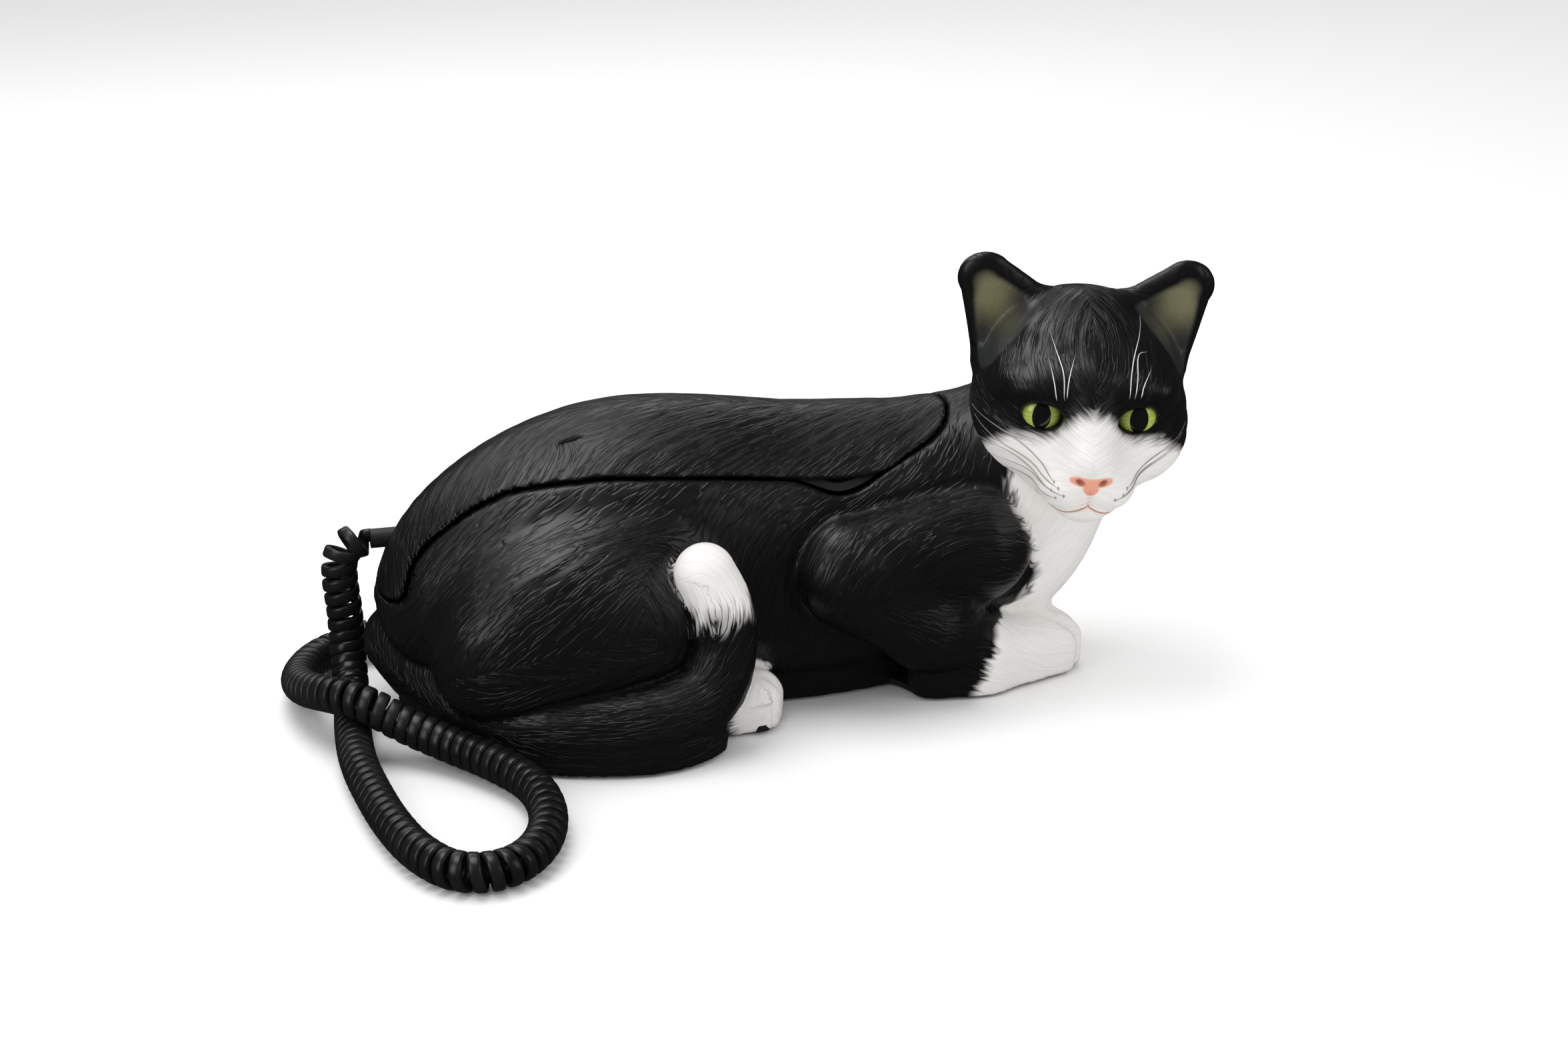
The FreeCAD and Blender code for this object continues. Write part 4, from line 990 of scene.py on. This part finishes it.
class CatSizes(bpy.types.PropertyGroup):
    seam_gap: length_property("Seam gap", "Gap between the handset and the casing", 0.0009)
    cord_diameter: length_property("Cord diameter", "Outside of the curly cord", 0.013)
    cord_pitch: length_property("Cord pitch", "From one turn of the cord to the next", 0.0049)
    casing_cell: length_property("Casing mesh", "Spacing of the casing's points", 0.00145)
    handset_cell: length_property("Handset mesh", "Spacing of the handset's points", 0.0011)
    head_cell: length_property("Head mesh", "Spacing of the head's points", 0.00085)
    lock_depth: length_property("Lock depth", "Height of the coarse locks of hair", 0.00016)


class CatColours(bpy.types.PropertyGroup):
    black: colour_property("Black", "Black paint", (0.0045, 0.0044, 0.0048))
    # Painted shade: a darker black for the hair's grooves, where shade falls.
    black_groove_shade: colour_property("Black in grooves", "Black paint down in the hair", (0.0025, 0.0024, 0.0026))
    white: colour_property("White", "White paint", (0.80, 0.78, 0.755))
    # Painted shade: a darker white for the hair's grooves, where shade falls.
    white_groove_shade: colour_property("White in grooves", "White paint down in the hair", (0.60, 0.575, 0.55))
    nose: colour_property("Nose", "Pink of the nose", (0.78, 0.34, 0.235))
    # Painted shade: a darker copy of the nose's pink for the nostril hollows.
    nostril: colour_property("Nostril", "Inside of the nostrils", (0.50, 0.17, 0.11))
    mouth: colour_property("Mouth", "Line of the mouth", (0.50, 0.21, 0.13))
    whisker: colour_property("Whisker", "Whisker lines on the white", (0.33, 0.30, 0.285))
    brow: colour_property("Brow whisker", "Whisker lines on the black", (0.62, 0.62, 0.63))
    ear_high: colour_property("Ear lining, tip", "Middle of the ear's cup", (0.19, 0.18, 0.095))
    ear_low: colour_property("Ear lining, edge", "Edge and bottom of the ear's cup", (0.022, 0.024, 0.024))
    iris: colour_property("Iris", "Yellow-green of the eye", (0.30, 0.36, 0.055))
    iris_light: colour_property("Iris rays", "Light rays in the iris", (0.47, 0.53, 0.13))
    iris_edge: colour_property("Iris edge", "Rim of the iris", (0.09, 0.13, 0.02))
    cord: colour_property("Cord", "Jacket of the curly cord", (0.006, 0.006, 0.0065))
    key: colour_property("Key", "Key caps", (0.70, 0.69, 0.65))
    floor: colour_property("Floor", "Floor of the stage", (0.93, 0.93, 0.93))


def sizes():
    """The sizes as the user has them."""
    return bpy.context.scene.cat_sizes


def colours():
    """The colours as the user has them."""
    return bpy.context.scene.cat_colours


# ---- the pieces, one operator each ----

ROOM_LIGHT = 0.80  # the room's even light
ROOM_IN_GLOSS = 0.032  # and as glossy surfaces mirror it
FLOOR_HALF = 6.0
LAMPS_AIM = (0, 0, 0.05)
LAMPS = (  # name, place, width, height, watts
    ("softbox_top", (-0.25, 0.12, 1.05), 0.75, 0.60, 5.6),
    ("softbox_left", (-0.90, -0.50, 0.60), 0.40, 0.80, 2.6),
    ("softbox_right", (0.90, -0.70, 0.60), 0.40, 0.70, 1.3),
    ("softbox_back", (-0.10, 1.10, 0.80), 1.40, 0.35, 3.0),
)
VIEW = (-15, 20, 1.0)  # azimuth and height in degrees, distance in metres
VIEW_AIM = (-0.0014, 0.0049, 0.058)
LENS = 63.0


class CAT_OT_stage(bpy.types.Operator):
    """The floor, the studio lights and the camera"""
    bl_idname = "cat.stage"
    bl_label = "Stage"

    def execute(self, context):
        scene = context.scene
        scene.view_settings.view_transform = "Standard"
        world = bpy.data.worlds.new("studio")
        world.use_nodes = True
        glossy = world.node_tree.nodes.new("ShaderNodeLightPath").outputs["Is Glossy Ray"]
        seen = world.node_tree.nodes.new("ShaderNodeLightPath").outputs["Is Camera Ray"]
        room = maths(world.node_tree, "MULTIPLY_ADD", glossy, ROOM_IN_GLOSS - ROOM_LIGHT, ROOM_LIGHT)
        room = maths(world.node_tree, "MAXIMUM", room, seen)
        world.node_tree.nodes["Background"].inputs[0].default_value = (1, 1, 1, 1)
        world.node_tree.links.new(room, world.node_tree.nodes["Background"].inputs[1])
        scene.world = world
        half = FLOOR_HALF
        floor = bpy.data.meshes.new("floor")
        floor.from_pydata([(-half, -half, 0), (half, -half, 0), (half, half, 0), (-half, half, 0)], [], [(0, 1, 2, 3)])
        floor_object = bpy.data.objects.new("floor", floor)
        scene.collection.objects.link(floor_object)
        material, tree, skin = new_material("floor_paper")
        grain = group_use(tree, "moulded_grain", {"Grain": 60.0, "Cloud": 2.0})
        low = tuple(c * 0.985 for c in colours().floor)
        tree.links.new(mix(tree, grain["Tone"], low, colours().floor), skin.inputs["Base Color"])
        skin.inputs["Roughness"].default_value = 0.9
        skin.inputs["Specular IOR Level"].default_value = 0.1
        floor.materials.append(material)
        floor_object.visible_glossy = False
        for name, place, wide, high, power in LAMPS:
            lamp = bpy.data.lights.new(name, "AREA")
            lamp.shape = "RECTANGLE"
            lamp.size, lamp.size_y, lamp.energy = wide, high, power
            holder = bpy.data.objects.new(name, lamp)
            holder.location = place
            holder.rotation_euler = (Vector(place) - Vector(LAMPS_AIM)).to_track_quat("Z", "Y").to_euler()
            scene.collection.objects.link(holder)
        azimuth, height = np.radians(VIEW[:2])
        back = Vector((np.sin(azimuth) * np.cos(height), -np.cos(azimuth) * np.cos(height), np.sin(height)))
        camera = bpy.data.objects.new("camera", bpy.data.cameras.new("camera"))
        camera.data.lens = LENS
        camera.data.sensor_width = 36.0
        camera.location = Vector(VIEW_AIM) + back * VIEW[2]
        camera.rotation_euler = back.to_track_quat("Z", "Y").to_euler()
        scene.collection.objects.link(camera)
        scene.camera = camera
        return {"FINISHED"}


class CAT_OT_cord(bpy.types.Operator):
    """The curly cord between the handset and the casing"""
    bl_idname = "cat.cord"
    bl_label = "Curly cord"

    def execute(self, context):
        path, long = even(route_points(), sizes().cord_pitch / 26)
        wire = coil(path, long)
        tangent, _, _ = directions(path)
        profile = rounded_profile(10, 0.55)
        radial = unit(wire - path)
        thin = np.linalg.norm(wire - path, axis=1) < 1e-5
        radial[thin] = directions(path)[1][thin]
        wide, high = CORD_WIRE[0] * MM / 2, CORD_WIRE[1] * MM / 2
        ring = wire[:, None] + wide * profile[None, :, :1] * tangent[:, None]
        ring = ring + high * profile[None, :, 1:] * radial[:, None]
        count = len(profile)
        faces = lattice(len(path), count)
        ends = [list(range(count))[::-1], list(range((len(path) - 1) * count, len(path) * count))]
        piece = add_piece("curly_cord_coil", ring.reshape(-1, 3), faces.tolist() + ends, False, "base",
                          ["curly_cord"])
        piece.data.materials.append(plain_finish("cord_jacket", colours().cord, 0.34, depth=0.00002))
        return {"FINISHED"}


class CAT_OT_casing(bpy.types.Operator):
    """The casing: trunk, legs, tail and neck"""
    bl_idname = "cat.casing"
    bl_label = "Casing"

    def execute(self, context):
        s = sizes()
        points, quads = net(casing, (-121, -86, -2), (172, 84, 112), s.casing_cell / MM)
        normals = facing(points, quads)
        hair = across(points, quads, body_hair(points, normals))
        white = body_white(points)
        outer = on_skin(body, points)
        painted = ramp(white, -2, 3)
        lift = s.lock_depth / MM * (1 - 0.6 * painted) * outer * clumps(points, hair)
        piece = add_piece("cat_casing", points + normals * lift[:, None], quads, True, "base",
                          ["body_shell"])
        mark(piece, "hair_across", hair)
        mark(piece, "white", white)
        mark(piece, "hair_depth", outer * (1 - 0.45 * painted))
        piece.data.materials.append(body_paint())
        return {"FINISHED"}


class CAT_OT_handset(bpy.types.Operator):
    """The handset's shell: the cat's back"""
    bl_idname = "cat.handset"
    bl_label = "Handset shell"

    def execute(self, context):
        s = sizes()
        points, quads = net(handset, (-132, -46, 40), (110, 52, 116), s.handset_cell / MM)
        normals = facing(points, quads)
        hair = across(points, quads, back_hair(points, normals))
        outer = on_skin(upper_body, points)
        lift = s.lock_depth / MM * 0.8 * outer * clumps(points, hair)
        piece = add_piece("cat_back", points + normals * lift[:, None], quads, True, "handset",
                          ["handset_shell"])
        mark(piece, "hair_across", hair)
        mark(piece, "white", np.full(len(points), -20.0))
        mark(piece, "hair_depth", outer)
        piece.data.materials.append(back_paint())
        return {"FINISHED"}


class CAT_OT_head(bpy.types.Operator):
    """The head with its ears, lids and nose"""
    bl_idname = "cat.head"
    bl_label = "Head"

    def execute(self, context):
        s = sizes()
        points, quads = net(head, (88, -80, 60), (198, 44, 166), s.head_cell / MM)
        normals = facing(points, quads)
        hair = across(points, quads, head_hair(points, normals))
        q = to_head(points)
        a = mirrored(q)
        white = head_white(q)
        nose = -egg(a, (44.6, 0, -14.2), (3.6, 7.5, 3.0))
        nose = np.maximum(nose, -egg(a, (44.6, 0, -16.4), (3.6, 3.4, 3.4)))
        rim = -(egg(a, (30, EYE_Y, EYE_Z), (9.0, 7.6, 5.3), turn(0, 0, EYE_TILT)))
        calm = np.maximum(ramp(nose, -1.0, 0.2), ramp(rim, -1.6, 0))
        cup = -ear_cup(a)
        inside = np.minimum(cup + 0.3, a[:, 0] + 7.5)
        calm = np.maximum(calm, 0.6 * ramp(inside, -0.5, 1.5))
        lift = s.lock_depth / MM * (1 - 0.5 * ramp(white, -2, 3)) * (1 - calm) * clumps(points, hair)
        piece = add_piece("cat_head", points + normals * lift[:, None], quads, True, "base",
                          ["head_shell"])
        mark(piece, "hair_across", hair)
        mark(piece, "white", white)
        mark(piece, "hair_depth", (1 - calm) * (1 - 0.4 * ramp(white, -2, 3)))
        mark(piece, "nose", np.where(a[:, 0] > 36, nose, -5))
        # nostril: where the nostril hollows are painted darker, as painted shade.
        mark(piece, "nostril", np.where(a[:, 0] > 36, -egg(a, (47.0, 3.9, -14.7), (2.6, 1.7, 1.1), turn(0, 0, 25)), -5))
        mark(piece, "eye_rim", np.where(a[:, 0] > 10, rim, -5))
        mark(piece, "ear_inside", inside)
        mark(piece, "ear_up", np.exp(-(((a[:, 1] - 32.5) / 8) ** 2)
                                      - ((a[:, 2] - 35) / 10.5) ** 2))
        mark(piece, "blush", np.where(a[:, 0] > 30, 5 - np.linalg.norm(a - np.array((42, 0, -22)), axis=1), -9))
        piece.data.materials.append(face_paint())
        return {"FINISHED"}


class CAT_OT_eyes(bpy.types.Operator):
    """Both eyes"""
    bl_idname = "cat.eyes"
    bl_label = "Eyes"

    def execute(self, context):
        """Each eye is a ball: centre + radii x (cos v, sin v cos u, sin v sin u), u round and v from front to back."""
        material = eye_paint()
        v = np.linspace(0.02, np.pi - 0.02, 40)[:, None]
        u = np.linspace(0, 2 * np.pi, 64, endpoint=False)[None]
        ball = np.stack((np.cos(v) + 0 * u, np.sin(v) * np.cos(u), np.sin(v) * np.sin(u)), -1).reshape(-1, 3)
        faces = lattice(40, 64)[:, ::-1].tolist()
        faces += [list(range(64)), list(range(39 * 64, 40 * 64))[::-1]]
        for name, node, side in (("eye_right", "right_eye", -1), ("eye_left", "left_eye", 1)):
            centre = np.array((23.6, side * EYE_Y, EYE_Z))
            local = centre + ball * np.array((8.6, 8.6, 8.2))
            piece = add_piece(name, from_head(local), faces, True, "base", [node])
            gaze = local - centre
            mark(piece, "gaze", np.stack((gaze[:, 1] - side * 0.3, gaze[:, 2], 0 * gaze[:, 0]), -1))
            piece.data.materials.append(material)
        return {"FINISHED"}


def on_face(line, out):
    """A line in the head's axes, drawn onto the head along the field's gradient, and its normals."""
    points = from_head(line)
    for _ in range(14):
        value, grad = slope(head, points, 0.05)
        points = points - (value - out)[:, None] * unit(grad) * 0.9
    return points, unit(slope(head, points, 0.05)[1])


def painted_line(name, lines, width, material, out=0.13):
    """Thin raised strokes on the face: an oval profile carried along each line and tapered to its ends."""
    profile = rounded_profile(6, 1.0)
    points, faces = [], []
    for line, thick in lines:
        dense = smooth_path(line, 8)
        path, normals = on_face(dense, out)
        t = np.linspace(0, 1, len(path))
        taper = np.clip(np.minimum(t * 8, (1 - t) * 2.2), 0.12, 1) * thick * width / 2
        ring, face = swept(path, taper, 0.06, profile, normals)
        start = sum(len(r) for r in points)
        faces += [[i + start for i in f] for f in face]
        points.append(ring)
    piece = add_piece(name, np.vstack(points), faces, True, "base")
    piece.data.materials.append(material)
    return piece


WHISKERS = (
    ((44, -12.9, -15.8), (36, -18.5, -10.5), (28, -27.4, -4.8), (8.5, -37.0, -1.6)),
    ((45, -10.9, -17.9), (38, -16.4, -15.2), (31, -21.5, -11.6), (22, -32.0, -6.8), (12.9, -36.5, -3.6)),
    ((44, -13.4, -19.2), (35, -19.7, -15.6), (27, -28.2, -10.6), (14, -36.0, -9.6)),
    ((45, -8.7, -20.4), (40, -15.3, -18.2), (31, -23.3, -15.9), (20, -33.0, -13.6)),
    ((44, -11.3, -21.7), (38, -17.5, -20.9), (28, -25.0, -19.0), (18, -31.5, -17.0)),
    ((45, 8.9, -21.3), (40, 15.6, -18.2), (31, 23.0, -14.0), (22, 31.5, -7.6)),
    ((44, 11.6, -19.7), (38, 17.8, -16.9), (30, 25.4, -12.2), (20, 33.0, -5.0)),
    ((43, 13.0, -17.7), (36, 19.5, -14.0), (28, 27.2, -8.6), (16, 35.0, -2.4)),
)
BROWS = (
    ((35.6, -12.6, 9.9), (33.6, -13.8, 16.2), (26, -15.4, 22.9)),
    ((36.2, -10.2, 10.2), (32, -10.6, 18.5), (24.8, -12.6, 24.1), (17.7, -14.6, 29.3)),
    ((36.4, -9.4, 11.0), (33.7, -8.8, 17.5), (26.6, -6.2, 23.8)),
    ((35.8, 12.0, 11.5), (32.1, 12.3, 17.6), (26.3, 13.7, 22.8), (17.7, 16.0, 28.0), (8, 17.6, 33.0)),
    ((35.7, 13.8, 11.5), (31, 14.8, 19.0), (24.1, 15.6, 23.6), (21.7, 19.0, 24.6)),
    ((35.8, 16.0, 12.0), (33.9, 17.0, 16.5), (27.5, 20.0, 20.6)),
)


class CAT_OT_face_lines(bpy.types.Operator):
    """The painted mouth, whiskers and brow whiskers"""
    bl_idname = "cat.face_lines"
    bl_label = "Face lines"

    def execute(self, context):
        tone = colours()
        mouth = [(((44, 0, -17.5), (43.5, 0, -20), (42.5, 0, -23.4)), 1.3)]
        for s in SIDES:
            mouth.append((((42.5, 0, -23.2), (40.5, s * 3, -25.6), (37, s * 7, -26.6), (33, s * 11, -25.2),
                           (29, s * 14.5, -22.0)), 1.0))
        painted_line("mouth_line", mouth, 0.55, plain_finish("mouth_paint", tone.mouth, 0.45))
        whiskers = [(line, 1.0) for line in WHISKERS]
        painted_line("whisker_lines", whiskers, 0.46, plain_finish("whisker_paint", tone.whisker, 0.5))
        roots = []
        for line in WHISKERS:
            x, y, z = line[0]
            roots.append((((x, y - 0.45, z), (x, y, z + 0.05), (x, y + 0.45, z)), 1.0))
        painted_line("whisker_roots", roots, 1.3, plain_finish("root_paint", tone.whisker, 0.5))
        brows = [(line, 1.0) for line in BROWS]
        painted_line("brow_lines", brows, 0.36, plain_finish("brow_paint", tone.brow, 0.45))
        return {"FINISHED"}


KEY_MARKS = {
    "key_1": "1", "key_2": "2", "key_3": "3", "key_4": "4", "key_5": "5", "key_6": "6", "key_7": "7", "key_8": "8",
    "key_9": "9", "key_star": "*", "key_0": "0", "key_hash": "#", "key_redial": "R", "key_mute": "M", "key_flash": "F",
}


class CAT_OT_key_marks(bpy.types.Operator):
    """The printed numbers on the keys"""
    bl_idname = "cat.key_marks"
    bl_label = "Key marks"

    def execute(self, context):
        ink = plain_finish("key_ink", (0.02, 0.02, 0.022), 0.5)
        for node, letter in KEY_MARKS.items():
            low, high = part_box(node)
            text = bpy.data.curves.new(node + "_mark", "FONT")
            text.body = letter
            text.size = 0.0058
            text.extrude = 0.00004
            text.align_x, text.align_y = "CENTER", "CENTER"
            holder = bpy.data.objects.new(node + "_mark", text)
            mesh = bpy.data.meshes.new_from_object(holder)
            bpy.data.objects.remove(holder)
            co = np.zeros(len(mesh.vertices) * 3, np.float32)
            mesh.vertices.foreach_get("co", co)
            co = co.reshape(-1, 3)
            co[:, :2] -= (co[:, :2].max(0) + co[:, :2].min(0)) / 2
            middle = ((low + high) / 2)
            placed = np.stack((middle.x + co[:, 1], middle.y + co[:, 0], low.z - 0.00002 - co[:, 2]), -1)
            mesh.vertices.foreach_set("co", np.ascontiguousarray(placed, np.float32).ravel())
            mesh.name = node + "_mark"
            mesh.update()
            piece = bpy.data.objects.new(node + "_mark", mesh)
            context.scene.collection.objects.link(piece)
            piece.data.materials.clear()
            piece.data.materials.append(ink)
            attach(piece, node)
        return {"FINISHED"}


class CAT_OT_carried(bpy.types.Operator):
    """Finishes for the frame's own parts"""
    bl_idname = "cat.carried"
    bl_label = "Frame finishes"

    def execute(self, context):
        tone = colours()
        finishes = {
            "inner_black": plain_finish("inner_plastic", (0.009, 0.009, 0.010), 0.5),
            "cover_black": plain_finish("cover_plastic", (0.008, 0.008, 0.009), 0.48),
            "rubber": plain_finish("foot_rubber", (0.012, 0.012, 0.012), 0.75),
            "screw_steel": plain_finish("plated_steel", (0.55, 0.55, 0.54), 0.3, 1.0),
            "ballast": plain_finish("cast_weight", (0.16, 0.16, 0.165), 0.6, 0.9),
            "board_green": plain_finish("board_lacquer", (0.02, 0.11, 0.035), 0.3),
            "component_dark": plain_finish("component_cases", (0.03, 0.03, 0.032), 0.45),
            "capsule_metal": plain_finish("pressed_metal", (0.5, 0.5, 0.5), 0.35, 1.0),
            "jack_plastic": plain_finish("jack_moulding", (0.012, 0.012, 0.012), 0.32),
            "switch_plastic": plain_finish("switch_moulding", (0.02, 0.02, 0.021), 0.4),
            "key_mat": plain_finish("silicone_mat", (0.35, 0.36, 0.35), 0.6),
            "key_white": plain_finish("key_caps", tone.key, 0.35, shift=0.04),
            "black_casing": plain_finish("casing_plastic", tone.black, 0.38),
            "handset_black": plain_finish("handset_plastic", tone.black, 0.38),
            "cord_black": plain_finish("cord_plastic", tone.cord, 0.36),
            "eye_glass": plain_finish("eye_plastic", tone.iris, 0.2),
        }
        for row in frame["record"]["subparts"]:
            node = frame["nodes"][row["node"]]
            for place in node.material_slots:
                place.material = finishes[row["material_slot"]]
        return {"FINISHED"}


class CAT_PT_panel(bpy.types.Panel):
    """Lists the sizes, the colours and the operators"""
    bl_idname = "CAT_PT_panel"
    bl_label = "Cat telephone"
    bl_space_type = "VIEW_3D"
    bl_region_type = "UI"
    bl_category = "Cat telephone"

    def draw(self, context):
        for group in (context.scene.cat_sizes, context.scene.cat_colours):
            for key in group.bl_rna.properties.keys():
                if key not in ("rna_type", "name"):
                    self.layout.prop(group, key)
        for operator in OPERATORS:
            self.layout.operator(operator.bl_idname)


OPERATORS = (
    CAT_OT_stage, CAT_OT_cord, CAT_OT_casing, CAT_OT_handset, CAT_OT_head, CAT_OT_eyes, CAT_OT_face_lines,
    CAT_OT_key_marks, CAT_OT_carried,
)
CLASSES = (CatSizes, CatColours) + OPERATORS + (CAT_PT_panel,)


def register():
    for item in CLASSES:
        bpy.utils.register_class(item)
    bpy.types.Scene.cat_sizes = bpy.props.PointerProperty(type=CatSizes)
    bpy.types.Scene.cat_colours = bpy.props.PointerProperty(type=CatColours)


def unregister():
    del bpy.types.Scene.cat_colours
    del bpy.types.Scene.cat_sizes
    for item in reversed(CLASSES):
        bpy.utils.unregister_class(item)


def plain(box):
    """A box as plain lists of numbers."""
    return [[float(x) for x in corner] for corner in box]


def main():
    register()
    for make_group in (make_hair_group, make_spray_group, make_grain_group):
        make_group()
    for operator in OPERATORS:
        getattr(bpy.ops.cat, operator.bl_idname.split(".")[1])()


if __name__ == "__main__":
    main()
